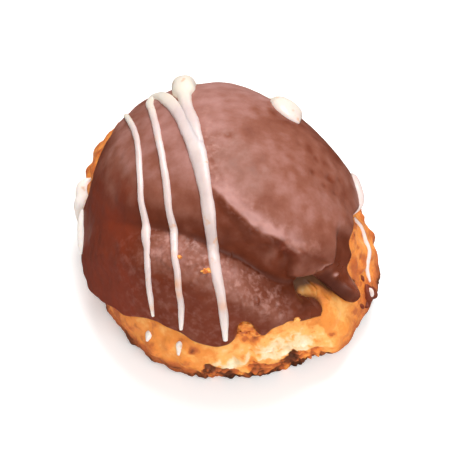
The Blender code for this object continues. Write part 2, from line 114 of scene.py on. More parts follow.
# The lower left edge of the raised plate on the upper lobe, and the plate's rise. The first number of each
# pair runs from north-west to south-east; the edge's second from south-west to north-east.
PLATE_EDGE = (
    (-60, 34), (-42, 22), (-24, 10.5), (-7, -0.5), (6, -0.6), (12, -0.2), (17, 0.9), (21, 2.9), (25, 4.2),
    (30, 6.3), (34, 9), (38, 11.3), (43, 14), (60, 30),
)
PLATE_RISE = ((-60, 0), (-30, 0.5), (-8, 1.6), (8, 2.8), (30, 3.2), (48, 2.6), (62, 0.6))
# Outline of the thick lip over the bay, as (angle, distance) about its own place
LIP_OUTLINE = (
    (-164, 10), (-147, 9.2), (-129, 10.3), (-113, 14.1), (-104, 16.5), (-95, 17), (-82, 16.5), (-69, 16.2),
    (-57, 15.8), (-46, 15.3), (-36, 15.1), (-22, 13.3), (-5, 11.5), (16, 10.6), (60, 11), (150, 10),
)

# Strands of drizzle on the glaze, as (east, north, width, height). The two loops, and the drops and the low
# drip further down, are placed somewhat more exactly here than in the solids.
LEFT_LINE = (
    (-57, 70, 0.8, 0.5), (-52, 58.5, 1.2, 0.8), (-45.5, 45.9, 1.4, 0.8), (-41.1, 35.2, 1.4, 0.8),
    (-38.6, 20, 1.4, 0.8), (-37.3, 7.8, 1.5, 0.9), (-37.3, -4.5, 1.7, 0.9), (-36.6, -9.8, 2.2, 1.1),
    (-34.6, -16.5, 1.5, 0.8), (-33.8, -25.8, 1.4, 0.8), (-34.6, -35.8, 1.3, 0.8), (-35.3, -46, 0.7, 0.5),
)
MIDDLE_LOOP = (
    (-21.7, -51.5, 0.8, 0.5), (-21.1, -43.7, 1.4, 0.8), (-20.5, -34.5, 1.5, 0.8), (-20.8, -26.1, 1.5, 0.9),
    (-22.3, -18.5, 1.6, 0.9), (-24.2, -10.8, 1.7, 0.9), (-24.8, -3.3, 1.7, 0.9), (-25, 4.5, 1.7, 0.9),
    (-27.8, 21.5, 1.6, 0.9), (-31.9, 38.8, 1.6, 0.9), (-35.5, 51.5, 1.7, 1), (-39, 63, 1.9, 1),
    (-38.5, 68.5, 2.2, 1.1), (-34, 65.5, 2.7, 1.2), (-28.9, 57.5, 2.9, 1.2), (-21.6, 44, 2.9, 1.2),
    (-16.3, 32.5, 3.8, 1.3), (-12.5, 21, 4.1, 1.4), (-10.4, 11.5, 3.6, 1.4), (-8.7, 2.5, 3.2, 1.3),
    (-7.9, -6, 2.9, 1.2), (-7.5, -16, 2.6, 1.2), (-5.6, -26, 2.4, 1.1), (-3.4, -36, 2.1, 1),
    (-2.5, -44.5, 1.9, 1), (-1.8, -55.9, 1, 0.6),
)
BACK_LOOP = (
    (-11.4, 19, 1.6, 0.8), (-12.9, 27, 2.8, 1.2), (-15.3, 37, 3.1, 1.3), (-18.2, 46.5, 2.7, 1.3),
    (-20, 55, 2.9, 1.7), (-21.5, 63, 5.2, 3), (-22.5, 70, 5.6, 3.4), (-24, 83, 2.8, 1.6),
    (-15, 92, 1.6, 0.9), (-2, 94, 1.6, 0.9), (10, 94.5, 1.6, 0.9), (20, 92, 1.6, 0.9), (26, 84, 1.8, 0.9),
    (27.2, 75, 2.6, 1.1), (28.2, 67.5, 4.4, 1.8), (28.3, 60.5, 7.4, 2.7), (28.6, 54.9, 7.4, 2.5),
    (30.4, 50.2, 5.2, 1.7), (32.8, 46.6, 1.6, 0.6),
)
RIGHT_COMMA = (
    (71.5, 34, 1, 0.6), (70.5, 29, 2.2, 1.2), (69.5, 22, 2.6, 1.4), (70, 14, 2.2, 1.2),
    (68.5, 6.5, 1, 0.6),
)
LEFT_DASH = (
    (-83.5, 14, 0.9, 0.6), (-85.5, 8, 1.6, 1.2), (-86.5, 1.5, 1.8, 1.4), (-86.3, -5, 1.7, 1.3),
    (-85.5, -12, 0.9, 0.6),
)
# Strands and drops on the bare skirt, as (azimuth, polar, width, height)
RIGHT_STREAK = (
    (-0.8, 75, 0.7, 0.4), (-1.8, 77.5, 1.1, 0.6), (-3.4, 80.8, 1.3, 0.7), (-7, 83.9, 1.3, 0.7),
    (-11.1, 85.8, 1.2, 0.6), (-15.3, 87.6, 1.2, 0.6), (-18.9, 89.8, 1, 0.6), (-21.5, 91.5, 0.6, 0.4),
)
LEFT_BLOB = (
    (157, 82, 1.2, 0.8), (161, 84.5, 3, 2.4), (165.5, 87.5, 3.6, 3), (169.5, 90.5, 2.8, 2.4),
    (173, 93.5, 1.2, 0.9),
)
LEFT_DROP = (-124, 90.3, 0.9, 0.5), (-124, 91.6, 1.5, 0.9), (-124, 93, 1.3, 0.8), (-124, 95.2, 0.6, 0.4)
RIGHT_DROP = (-110, 88, 0.9, 0.5), (-110, 89.6, 1.5, 0.9), (-110, 91.4, 1.2, 0.8), (-110, 94.8, 0.6, 0.4)
LOW_DRIP = (
    (-23.9, 90.2, 1.2, 0.7), (-24.6, 92, 2.4, 1.1), (-25.2, 94.2, 2.9, 1.4), (-25, 96.5, 2.5, 1.3),
    (-24.4, 98.6, 1.4, 0.9),
)

# ---- Finer forms, for the look alone ----

# Beads of chocolate by the low drip, and a painted highlight on it, as (azimuth, polar, width, height)
BEADS = (
    ((-31.5, 93, 0.6, 0.3), (-31, 94.3, 1.1, 0.6), (-30.6, 95.6, 0.6, 0.3)),
    ((-20, 97.5, 0.6, 0.4), (-20.6, 99.2, 1.4, 0.9), (-21.2, 101, 0.6, 0.4)),
    ((-22.5, 87.2, 0.5, 0.3), (-23, 88.3, 0.9, 0.5), (-23.4, 89.4, 0.5, 0.3)),
    ((-21.4, 93.6, 0.7, 0.5), (-21.9, 95.2, 2, 1.3), (-22.3, 96.8, 0.7, 0.5)),
    ((-27.3, 95.2, 0.6, 0.5), (-27.7, 96.9, 1.8, 1.1), (-27.9, 98.6, 0.6, 0.4)),
)
# A white fleck of drizzle: a painted highlight, the low drip's glint
PAINTED_DRIP_GLINT = (-24.6, 91.3, 0.5, 1.5), (-25, 92, 1, 1.8), (-25.6, 92.7, 1, 1.9), (-26, 93.3, 0.5, 1.6)
# Where the drizzle is stained with caramel, as (east, north, size, how far)
SMUDGES = (
    (-21.3, -30.5, 1.1, 0.9), (-20.9, -34.5, 1, 0.7), (-31, 31.5, 0.7, 0.8), (-23, -19.5, 0.7, 0.6),
    (-2.8, -39, 1.1, 0.75), (-3.5, -36, 0.7, 0.5), (-35, -41.5, 0.9, 0.6), (-18.8, 50, 0.7, 0.5),
    (-24.8, 1, 0.5, 0.4),
)

STRAND_PALENESS, STRAND_WARMTH = 0.24, 0.5  # how pale and how reddish the low drip is
LIP_BLEND = 0.35  # over what height the lip and the plate run into each other
EDGE_WOBBLE, WOBBLE_SIZE = 0.35, 5  # small waves of the glaze's edge
RIM_ROUND = 1.5  # distance from its edge over which the glaze swells to its full thickness
RIM_BAND = 4.6  # how far in from the edge, in degrees, the glaze's rings start to lie closer together
RIM_SINK = 0.3  # how deep the glaze's edge sits in the crust
# The edge round the finger of glaze, which hooks over the bay, as (turn at which the glaze's column of points
# leaves the crown, turn at the edge, reach)
FINGER = (
    (-61, -60.6, 54.6), (-59.5, -57.5, 56.2), (-58, -54.3, 57.6), (-56.5, -50.6, 59.6), (-55.3, -47.4, 60.9),
    (-54.3, -45.2, 60.9), (-53.5, -43.6, 59.5), (-52.6, -43.3, 57.3), (-51.3, -46.2, 53.9), (-50, -49.3, 51),
    (-48.8, -49.4, 48.2), (-47, -47, 45.4),
)
FINGER_MARGIN = 2  # turn past the finger from which the plain edge goes on
TIP_STARTS, BACK_STARTS = (-57, -51.5), (-52.5, -46)  # which columns end at the finger's tip, and behind it
HOOK = 8  # how late a column swerves to the finger's edge
CORE_REACH = 60  # reach that the glaze's rings have on average
LENGTH_SHARE = 0.6  # how far the columns are spread by length along the edge, rather than by turn
RIM_STEPS = 3.9, 3.2, 2.6, 2, 1.5, 1.05, 0.7, 0.42, 0.22, 0.08, 0  # from the rim's rings to the edge
UNDER_STEPS = 0, 1.5, 8, 24, 44  # and from the underside's rings
PIT_DEPTH = 0.45  # of the shallow pits in the underside
STRAND_STEP, STRAND_SINK = 0.24, 0.35  # distance between a strand's rings, and how deep its sides sit
STRAND_STIFFNESS = 1.2, 1.1  # over what length a strand evens out the skin's tilt and its bumps
# Small dents in the plate, as (east, north, width in degrees, depth); shade is painted in them too
DENTS = (
    (38.5, 25, 1.3, 0.2), (35.6, 17, 1.5, 0.24), (40.7, 11.9, 1.3, 0.22), (46.7, 9.2, 1.6, 0.2),
    (30.5, 31, 1.6, 0.14), (24, 22, 2, 0.14), (51, 18, 1.4, 0.18), (12, 12, 2.4, 0.12),
)
# Two larger ones, as (east, north, unevenness, distance of the rim, its width, depth), and the painted shade
# in them
RIMMED_DENTS = (-0.7, 29.4, 0, 3.4, 1.6, 0.36), (44.5, 16.6, 0.8, 4, 1.8, 0.3)
DARK_DENTS = (-0.7, 29.4, 1.7, 0.36), (44.5, 16.6, 1.8, 0.3)
# A fold across the plate, as (east, north)
FOLD = (14, 5.6), (20.6, 5.2), (33.9, 2.4), (48.1, -0.7), (58, -3)
# Soft spots on the glaze's map, as (east, north, width in degrees, amount, width as a share of length)
# Painted sheen on the plate where the amount is above 0, painted shade where it is below
PLATE_SPOTS = (-1.5, 4.5, 6, 0.26, 1), (-4.5, 26, 5, 0.16, 1), (37, 20, 8, -0.07, 1)
# Painted highlights on the nose, lip and drip, the drip's glint among them, and painted shade where below 0
PALE_SPOTS = (
    (-15, 9, 7, 0.1, 1), (10, -28, 4, 0.1, 1), (12, -38, 9, -0.16, 0.7), (26, -41, 4, 0.06, 1),
    (18.4, -14.9, 1.7, -0.22, 1), (26.5, -23, 1.8, 0.2, 1), (22.6, -19, 2.2, -0.16, 0.6),
    (60, -29.5, 3.8, 0.42, 1), (48.2, -26.6, 1.1, 1, 1),
)
# Painted shade in the nose's hollows; the first spot clears it at the drip's glint
DARK_SPOTS = (48.2, -26.6, 1.2, -1, 1), (18.4, -14.9, 1.5, 0.4, 1), (22.4, -19.5, 1.8, 0.36, 0.6)
# Where painted glints are strongest
GLITTER_SPOTS = ((-3, 26, 9, 0.3, 1),)
GLOSSY_SPOTS = (54, -29, 9, 1, 1), (40, -43, 6, 0.8, 1)
THICK_SPOTS = (DRIP_EAST, DRIP_NORTH, 12, 1, 1), (38, -44, 8, 0.6, 1)
LUMPS = (
    (22.4, -19.5, 2.3, -1, 0.6), (18.4, -14.9, 1.5, -0.75, 1), (48.7, -26.8, 2.2, 0.55, 1),
    (51.3, -28.6, 2.2, -0.45, 1),
)
# Soft streaks on that map, as (start, end, width, amount); a start or end is (east, north)
# A painted sheen streak on the plate
PLATE_STREAKS = (((24, 8), (34, -2), 5, 0.1),)
LIP_CREST, RIDGE_CREST = ((37.5, -24.2), (43, -19)), ((20.3, -14.8), (25, -17.6))
# Painted highlights along the crests of the lip and of the nose's ridge, pale and reddish
PALE_STREAKS = (*LIP_CREST, 1.4, 0.4), (*RIDGE_CREST, 1.1, 0.56)
WARM_STREAKS = (*RIDGE_CREST, 2.2, 0.8), (*LIP_CREST, 1.8, 0.5)
# Painted shadow of the lip on the drip's left side
DARK_STREAKS = (((44.5, -28.8), (54.5, -36.2), 3.2, 1),)
RIDGES = ((20, -15.4), (25, -18.4), 1.2, 0.55), ((14.5, -15.5), (16.2, -23), 1.3, -0.45)
# The painted shadow on the crust under the drip, and the golden spot in the bay, given in the same ways
UNDER_DRIP = (((43, -31), (53, -38), 2, 0.42),)
BAY_GLOW = ((39, -38, 4.5, -0.14, 1),)
# Where the crust is torn off the pale crumb: polar angles of its upper and lower limit, by azimuth
CRUMB_TOP = (
    (-99, 98.2), (-95.1, 94.8), (-89.8, 93.5), (-84.5, 92.1), (-80.9, 90.2), (-78.8, 86.6), (-75, 83.1),
    (-65.8, 81), (-57.2, 83.6), (-52.9, 87.5), (-50.5, 93),
)
CRUMB_BOTTOM = (
    (-99, 98.2), (-95, 97.2), (-89.8, 97.7), (-85, 96), (-81.1, 93.8), (-77, 96), (-72.6, 96.7),
    (-67.3, 95.7), (-64.4, 92.8), (-60, 93.4), (-54.8, 95.1), (-50.5, 95.5),
)
# Where the ragged dark bottom edge starts, by azimuth
DARK_TOP = (
    (-124, 112), (-109.5, 108), (-102.3, 102.6), (-98.5, 97.1), (-95, 98.1), (-89.8, 98.5), (-84.7, 97.2),
    (-81.2, 94.8), (-77.8, 98.3), (-72.6, 98.8), (-69.1, 97.9), (-66.7, 96.5), (-64.9, 93.1), (-61.9, 94.1),
    (-59.4, 95.7), (-56.1, 94.9), (-53.5, 96.9), (-50, 101), (-44, 108),
)
# The lip's foot over the bay, seen from the front, as (east, north); painted shadow falls on the crust below
# it
LIP_FOOT = (24, -33.5), (28, -33), (32.5, -32), (35.4, -31.5), (39.7, -29.6), (45.1, -27.8), (50.6, -25.6)
# Browner spots on the crust, as (azimuth, polar, width in degrees, how much browner)
CRUST_SPOTS = (
    (-104.2, 90.2, 1.8, 0.34), (-106.4, 97.5, 1.8, 0.12), (-84.5, 83.5, 2.2, 0.22), (-80, 84.5, 1.6, 0.25),
    (-88, 88, 1.5, 0.15), (-86.5, 77, 2, 0.3), (-78.3, 81.5, 1.8, 0.3), (-83, 84, 2, 0.12),
    (-112, 100, 3, 0.12), (-36, 92, 1.6, 0.2), (-30, 84.5, 1.8, 0.14), (-16, 84, 1.6, 0.16),
    (-20, 101, 1.6, 0.35), (-27, 102.5, 1.6, 0.25),
)
# Where the skirt is browner, between two azimuths and two polar angles, and how much
BROWNED_SIDES = (-112, -135, 82, 98, 0.12), (-34, -20, 88, 99, 0.08), (-50, -38, 92, 100, 0.11)
# Crumbs on the glaze, as (east, north, size, height over the skin, how browned)
CRUMBS = (
    (-20.2, -20.4, (1.4, 0.8, 0.7), 0.15, 0.5), (-9.2, -26, (1.9, 1.2, 0.9), 0.15, 0.48),
    (28.3, -45.1, (1.6, 1.2, 1), 0.15, 0.36),
)
# Flakes on the crust, as (azimuth, polar, size, height over the skin, how browned)
FLAKES = (
    (-83.2, 77.4, (4.4, 2.9, 1.4), 0.1, 0.5), (-79.9, 80.9, (3, 1.9, 1.2), 0.1, 0.46),
    (-84.8, 81.4, (2.2, 1.4, 1), 0.1, 0.56),
)


def heading(azimuth, polar):
    """Unit directions from the heart, at azimuths and polar angles in degrees."""
    azimuth, polar = np.broadcast_arrays(np.radians(azimuth), np.radians(polar))
    flat = np.sin(polar)
    return np.stack((flat * np.cos(azimuth), flat * np.sin(azimuth), np.cos(polar)), axis=-1)


def tilt(direction, angle):
    """Directions turned about the X axis; a positive angle in degrees tips straight up to the front."""
    across, along, up = np.moveaxis(direction, -1, 0)
    cosine, sine = math.cos(math.radians(angle)), math.sin(math.radians(angle))
    return np.stack((across, along * cosine - up * sine, along * sine + up * cosine), axis=-1)


def angles(direction):
    """Azimuth and polar angle, in degrees, of unit directions."""
    across, along, up = np.moveaxis(direction, -1, 0)
    return np.degrees(np.arctan2(along, across)), np.degrees(np.arccos(np.clip(up, -1, 1)))


def on_glaze(turn, reach):
    """Unit directions from the heart, at turns and reaches about the crown."""
    return tilt(heading(turn, reach), CROWN_LEAN)


def crown_angles(direction):
    """Turn and reach of unit directions."""
    return angles(tilt(direction, -CROWN_LEAN))


def crown_map(direction):
    """East and north of unit directions on the flat map of the glaze."""
    turn, reach = crown_angles(direction)
    return reach * np.cos(np.radians(turn)), reach * np.sin(np.radians(turn))


def curve(knots, place):
    """Values at places along the smooth curve through (place, value) knots, which never overshoots them."""
    at, value = np.array(knots, dtype=float).T
    step = np.diff(at)
    rise = np.diff(value) / step
    slope = np.zeros(len(at))
    steady = rise[:-1] * rise[1:] > 0
    slope[1:-1][steady] = 2 * (rise[:-1] * rise[1:])[steady] / (rise[:-1] + rise[1:])[steady]
    place = np.clip(place, at[0], at[-1])
    left = np.clip(np.searchsorted(at, place, side="right") - 1, 0, len(step) - 1)
    part = (place - at[left]) / step[left]
    rest = 1 - part
    ends = value[left] * rest**2 * (1 + 2 * part) + value[left + 1] * part**2 * (1 + 2 * rest)
    return ends + step[left] * part * rest * (slope[left] * rest - slope[left + 1] * part)


def around(knots, angle):
    """Values at angles in degrees of the smooth closed curve through (angle, value) knots."""
    before = [(at - 360, value) for at, value in knots[-2:]]
    after = [(at + 360, value) for at, value in knots[:2]]
    first = knots[0][0]
    return curve([*before, *knots, *after], (angle - first) % 360 + first)


def ease(value, low, high):
    """0 at low, 1 at high, an S-shaped rise between them, and level beyond them."""
    part = np.clip((value - low) / (high - low), 0, 1)
    return part * part * (3 - 2 * part)


def span(value, start, full, fading, gone):
    """1 from full to fading, falling smoothly to 0 at start and at gone."""
    return ease(value, start, full) * (1 - ease(value, fading, gone))


def hump(offset, width):
    """1 at no offset, falling smoothly to nothing over about twice the width on either side."""
    return np.exp(-((offset / width) ** 2))


def rumple(points, size, seed):
    """Smooth random relief, mostly between -1 and 1, whose bumps are about half of size across."""
    dice = np.random.default_rng(seed)
    waves = dice.normal(size=(24, 3))
    waves *= 2 * math.pi / size / np.linalg.norm(waves, axis=1, keepdims=True)
    phases = dice.uniform(0, 2 * math.pi, 24)
    return np.cos(points @ waves.T + phases).sum(axis=-1) / math.sqrt(24)


def from_line(east, north, start, end):
    """Distance on the glaze's map from the line between two places."""
    reach = np.subtract(end, start)
    share = ((east - start[0]) * reach[0] + (north - start[1]) * reach[1]) / (reach @ reach)
    share = np.clip(share, 0, 1)
    return np.hypot(east - start[0] - share * reach[0], north - start[1] - share * reach[1])


def from_nose(east, north, middle):
    """Distance on the glaze's map from the leaning middle of the lip's long, narrow nose."""
    return np.hypot(east - middle - 0.12 * (north + 17), 0.45 * (north + 19.5))


def marks(east, north, spots, streaks=()):
    """The sum of soft spots and streaks on the glaze's map, as their tables give them."""
    total = 0
    for at, up, width, amount, slim in spots:
        total = total + amount * hump(np.hypot(east - at, slim * (north - up)), width)
    for start, end, width, amount in streaks:
        total = total + amount * hump(from_line(east, north, start, end), width)
    return total


def lobes(direction):
    """Relief that the bun and its glaze share: a broad valley along the crease and a bulge below it."""
    east, north = crown_map(direction)
    above = north - curve(CREASE, east)
    shape = BULGE_SHARE * hump(above + BULGE_BELOW, BULGE_SPREAD) - VALLEY_SHARE * hump(above, VALLEY_SPREAD)
    return curve(CREASE_DEPTH, east) * shape * (1 - ease(np.hypot(east, north), *LOBES_END))


def bun_radius(direction):
    """Distance from the heart to the bun's skin without its crags, before the base cuts it off."""
    azimuth, polar = angles(direction)
    half_height = np.where(direction[..., 2] > 0, DOME_Z, UNDER_Z)
    squares = (direction[..., 0] / DOME_X) ** 2 + (direction[..., 1] / DOME_Y) ** 2
    dome = 1 / np.sqrt(squares + (direction[..., 2] / half_height) ** 2)
    plan = 1 + (around(PLAN, azimuth) - 1) * np.sin(np.radians(polar)) ** 2
    skirt = SKIRT_SWELL * around(SWELL, azimuth) * hump(polar - around(WIDEST, azimuth), SKIRT_SPREAD)
    return dome * plan + skirt + lobes(direction)


def on_bun(direction):
    """Points of the bun's skin without its crags."""
    return direction * bun_radius(direction)[..., None]


def bare(direction):
    """1 where the skin of the bun lies open and 0 under the glaze and close beside it."""
    turn, reach = crown_angles(direction)
    nearby = [around(EDGE, turn + aside) for aside in (-EDGE_MARGIN, 0, EDGE_MARGIN)]
    return ease(reach - np.max(nearby, axis=0), CRAG_START, CRAG_FULL)


# Where columns of points leave the crown, and the edge's turn and reach where they end. Beside the finger
# they run straight, so the two turns are the same.
BESIDE_FINGER = [
    (turn, turn, reach) for turn, reach in EDGE
    if not FINGER[0][0] <= turn <= FINGER[-1][0] + FINGER_MARGIN
]
OUTLINE = sorted([*BESIDE_FINGER, *FINGER])


def edge(start):
    """Turn and reach of the glaze's edge, where the columns that leave the crown at start turns end."""
    turn = start + around([(first, turn - first) for first, turn, reach in OUTLINE], start)
    reach = around([(first, reach) for first, turn, reach in OUTLINE], start)
    return turn, reach + EDGE_WOBBLE * rumple(on_glaze(turn, reach) * DOME_X, WOBBLE_SIZE, 11)


def edge_tree():
    """A search tree of points along the glaze's edge, on the bun's skin."""
    direction = on_glaze(*edge(np.arange(-180, 180, 0.05)))
    tree = kdtree.KDTree(len(direction))
    for index, point in enumerate(on_bun(direction)):
        tree.insert(point, index)
    tree.balance()
    return tree


def branches():
    """The edge in three stretches, along each of which the turn only rises or only falls."""
    start = np.linspace(-180, 180, 14401)
    turn, reach = edge(start)
    near, far = (
        np.flatnonzero((start > first) & (start < last)) for first, last in (TIP_STARTS, BACK_STARTS)
    )
    tip, back = near[np.argmax(turn[near])], far[np.argmin(turn[far])]
    outline = np.stack((turn, reach))
    return outline[:, :tip + 1], outline[:, back:tip - 1:-1], outline[:, back:]


EDGE_TREE = edge_tree()
BRANCHES = branches()


def covered(turn, reach):
    """Whether places are inside the glaze's edge."""
    outer, hook, inner = (np.interp(turn, *branch) for branch in BRANCHES)
    before, after = turn < BRANCHES[1][0][0], turn > BRANCHES[1][0][-1]
    hooked = (reach < inner) | ((reach > hook) & (reach < outer))
    return np.where(before, reach < outer, np.where(after, reach < inner, hooked))


def edge_distance(direction):
    """Distance over the bun's skin from the glaze's edge, above zero under the glaze."""
    turn, reach = crown_angles(direction)
    distance = np.array([EDGE_TREE.find(point)[2] for point in on_bun(direction).reshape(-1, 3)])
    distance = distance.reshape(turn.shape)
    return np.where(covered(turn, reach), distance, -distance)


# ---- Meshes ----

def add_object(name, data):
    """A new object of the scene."""
    piece = bpy.data.objects.new(name, data)
    bpy.context.scene.collection.objects.link(piece)
    return piece


def mesh_piece(name, skin, labels, material):
    """An object with a smooth skin: points, each a place and the values that labels name, and faces."""
    points, faces = skin
    data = bpy.data.meshes.new(name)
    data.from_pydata(((points[:, :3] + HEART) * MM).tolist(), [], faces)
    data.materials.append(material)
    data.shade_smooth()
    for label, value in zip(labels, points.T[3:]):
        data.attributes.new(label, "FLOAT", "POINT").data.foreach_set("value", np.asarray(value, np.float32))
    piece = add_object(name, data)
    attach(piece, "root")
    return piece


def closed_skin(rings):
    """Points and faces of a skin through rings, closed by the middles of the first and the last ring."""
    count, columns, width = rings.shape
    points = np.vstack((rings.reshape(-1, width), rings[0].mean(axis=0), rings[-1].mean(axis=0)))
    upper = np.arange((count - 1) * columns).reshape(count - 1, columns)
    lower, beside = upper + columns, np.roll(upper, -1, axis=1)
    faces = np.stack((upper, lower, beside + columns, beside), axis=-1).reshape(-1, 4).tolist()
    top, bottom = count * columns, count * columns + 1
    faces += [(top, a, b) for a, b in zip(upper[0].tolist(), beside[0].tolist())]
    faces += [(bottom, b, a) for a, b in zip(lower[-1].tolist(), np.roll(lower[-1], -1).tolist())]
    return points, faces


def join(forms):
    """The points and the faces of several forms, each in one list."""
    points, faces, first = [], [], 0
    for own_points, own_faces in forms:
        faces += [[first + corner for corner in face] for face in own_faces]
        points.append(own_points)
        first += len(own_points)
    return np.vstack(points), faces


# ---- The choux crust ----

CRUST_VALUES = "browned", "shade"


def crumb_masks(azimuth, polar, points):
    """How far places are pale torn crumb, how cream that is, and how far they are the ragged dark edge."""
    fray = 0.8 * rumple(points, 3.4, 21) + 0.45 * rumple(points, 1.3, 22)
    inside = (azimuth > CRUMB_TOP[0][0]) & (azimuth < CRUMB_TOP[-1][0])
    top = curve(CRUMB_TOP, azimuth)
    pale = ease(polar + fray - top, -0.9, 0.7) * inside
    pale *= ease(curve(CRUMB_BOTTOM, azimuth) - polar - fray, -0.7, 0.7)
    cream = ease(polar + 1.4 * fray - top, 1, 9) * ease(-azimuth, 54, 62) + ease(-azimuth, 80, 84)
    inside = (azimuth > DARK_TOP[0][0]) & (azimuth < DARK_TOP[-1][0])
    dark = ease(polar + fray - curve(DARK_TOP, azimuth), -0.7, 0.9) * inside
    return pale, np.clip(cream, 0, 1), dark


def crust_shade(east, north, outside, points):
    """Painted shadow on the crust, from 0 to 1: in the bay under the lip, under the drip and along the glaze.
    """
    below = curve(LIP_FOOT, east) - north + 0.5 * rumple(points, 2.5, 46)
    bay = 0.8 * (1 - ease(below, 1.8, 6.6)) + 0.24 * (1 - ease(below, 6, 15)) + 0.3 * hump(outside, 0.9)
    bay *= span(east, 24, 28, 49, 53) * span(-north, 10, 20, 42, 50)
    return np.clip(bay + marks(east, north, (), UNDER_DRIP) + 0.3 * hump(outside, 0.45), 0, 1)


def crust(direction):
    """Points of the crust, each with how far it is browned, from 0 to 1, and how far shadow is painted on it.
    """
    azimuth, polar = angles(direction)
    smooth = on_bun(direction)
    crags = np.abs(rumple(smooth, CRAG_SIZE, CRAG_SEED)) - 0.5
    crags += GRAIN_SHARE * rumple(smooth, GRAIN_SIZE, GRAIN_SEED)
    tear = hump(azimuth - TEAR_AZIMUTH, TEAR_LENGTH) * hump(polar - TEAR_POLAR - crags, TEAR_WIDTH)
    swell = SWELL_DEPTH * rumple(smooth, SWELL_SIZE, SWELL_SEED)
    bite = hump(azimuth - BITE_AZIMUTH, BITE_WIDTH) * ease(polar, *BITE_POLARS)
    relief = bare(direction) * (CRAG_DEPTH * crags + swell - TEAR_DEPTH * tear - BITE_DEPTH * bite)

    outside = -edge_distance(direction)
    cracks = hump(rumple(smooth, 7, 31), 0.1) * ease(rumple(smooth, 15, 32), -0.2, 0.8)
    blisters = np.maximum(rumple(smooth, 2.6, 33), 0) ** 2
    fine = 0.07 * blisters + 0.03 * rumple(smooth, 0.95, 34) - 0.2 * cracks
    pale, cream, dark = crumb_masks(azimuth, polar, smooth)
    pores = np.maximum(-rumple(smooth, 1.5, 35), 0) ** 1.5 + 0.7 * np.maximum(-rumple(smooth, 0.8, 36), 0)
    shreds = np.abs(rumple(smooth, 2.8, 37)) + 0.4 * rumple(smooth, 1.2, 38)
    fine += pale * (0.2 - 0.24 * pores * (0.3 + 0.7 * cream)) + dark * (0.5 * shreds - 0.7)
    points = smooth + direction * (relief + ease(outside, 0, 1.5) * fine)[..., None]

    browned = 0.38 + 0.045 * rumple(smooth, 11, 41) + 0.03 * rumple(smooth, 3.2, 42) + 0.05 * crags
    browned += 0.05 * blisters - 0.06 * cracks
    browned += 0.05 * hump(azimuth + 117, 14) - 0.04 * hump(azimuth + 92, 22)
    browned += 0.1 * ease(azimuth, -44, -28) + 0.2 * ease(polar, 98, 104) + 0.16 * hump(outside - 0.2, 0.6)
    for first, last, top, bottom, more in BROWNED_SIDES:
        browned += more * ease(azimuth, first, last) * ease(polar, top, bottom)
    ragged = 0.5 * rumple(smooth, 2, 45)
    for at, down, width, more in CRUST_SPOTS:
        browned += more * hump(np.hypot(azimuth - at, polar - down) + ragged, width)
    east, north = crown_map(direction)
    browned += marks(east, north, BAY_GLOW)
    torn = 0.27 - 0.18 * cream + 0.07 * pores + 0.05 * rumple(smooth, 4, 43)
    browned = browned * (1 - pale) + pale * torn
    charred = 0.8 - 0.14 * shreds + 0.24 * rumple(smooth * np.array((1, 1, 0.5)), 4.5, 44)
    browned = browned * (1 - dark) + dark * np.clip(charred, 0.36, 0.9)
    shade = crust_shade(east, north, outside, smooth)
    return np.concatenate((points, browned[..., None], shade[..., None]), axis=-1)


def make_crust(material):
    """The choux bun's crust, closed by its flat base."""
    columns = 620
    azimuth = -180 + np.arange(columns) * 360 / columns
    polar = np.concatenate((np.linspace(4, 52, 12), np.linspace(54, SKIRT_FOOT, 88)))
    rings = crust(heading(azimuth[None, :], polar[:, None]))

    last, browned, shade = rings[-1, :, :3], rings[-1, :, 3], rings[-1, :, 4]
    sideways = heading(azimuth, 90)
    turned = []
    for bend in np.linspace(0, 90, 11)[1:]:
        lean, sink = math.cos(math.radians(bend)), math.sin(math.radians(bend))
        ring = last - FOOT_INSET * (1 - lean) * sideways
        ring[:, 2] = -HEART[2] + (last[:, 2] + HEART[2]) * (1 - sink)
        rough = 0.12 * rumple(ring, 1.7, 51) + 0.06 * rumple(ring, 0.8, 52)
        ring += sideways * (rough * lean)[:, None]
        turned.append(np.column_stack((ring, browned + 0.1 * sink, shade)))
    foot = turned[-1][:, :3]
    for share in (0.985, 0.96, 0.93, *np.linspace(0.88, 0.04, 16)):
        ring = foot * share
        ring[:, 2] = -HEART[2]
        pits = np.maximum(rumple(ring, 3.6, 53) + 0.5 * rumple(ring, 1.4, 54) - 0.45, 0)
        ring[:, 2] += PIT_DEPTH * np.minimum(pits, 1) * ease(share, 1, 0.93)
        baked = 0.66 + 0.09 * rumple(ring, 9, 55) + 0.06 * rumple(ring, 2.5, 56) - 0.22 * pits
        turned.append(np.column_stack((ring, baked, 0 * baked)))
    skin = closed_skin(np.concatenate((rings, turned)))
    piece = mesh_piece("choux_crust", skin, CRUST_VALUES, material)
    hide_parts("choux_bun")


# ---- The chocolate glaze ----

def plate_place(east, north):
    """How far places are along the plate's lower edge, towards the lower right, and how far in from it."""
    along = (east - north) / math.sqrt(2)
    return along, (east + north) / math.sqrt(2) - curve(PLATE_EDGE, along)


def lip_shape(east, north):
    """How far places are on the lip, from 0 to 1, and the lip's rise there."""
    aside, ahead = east - LIP_EAST, north - LIP_NORTH
    within = around(LIP_OUTLINE, np.degrees(np.arctan2(ahead, aside))) - np.hypot(aside, ahead)
    share = ease(within, *LIP_STEP)
    return share, share * (LIP_RISE - LIP_DROP * (1 - np.clip(within / LIP_FACE, 0, 1)))


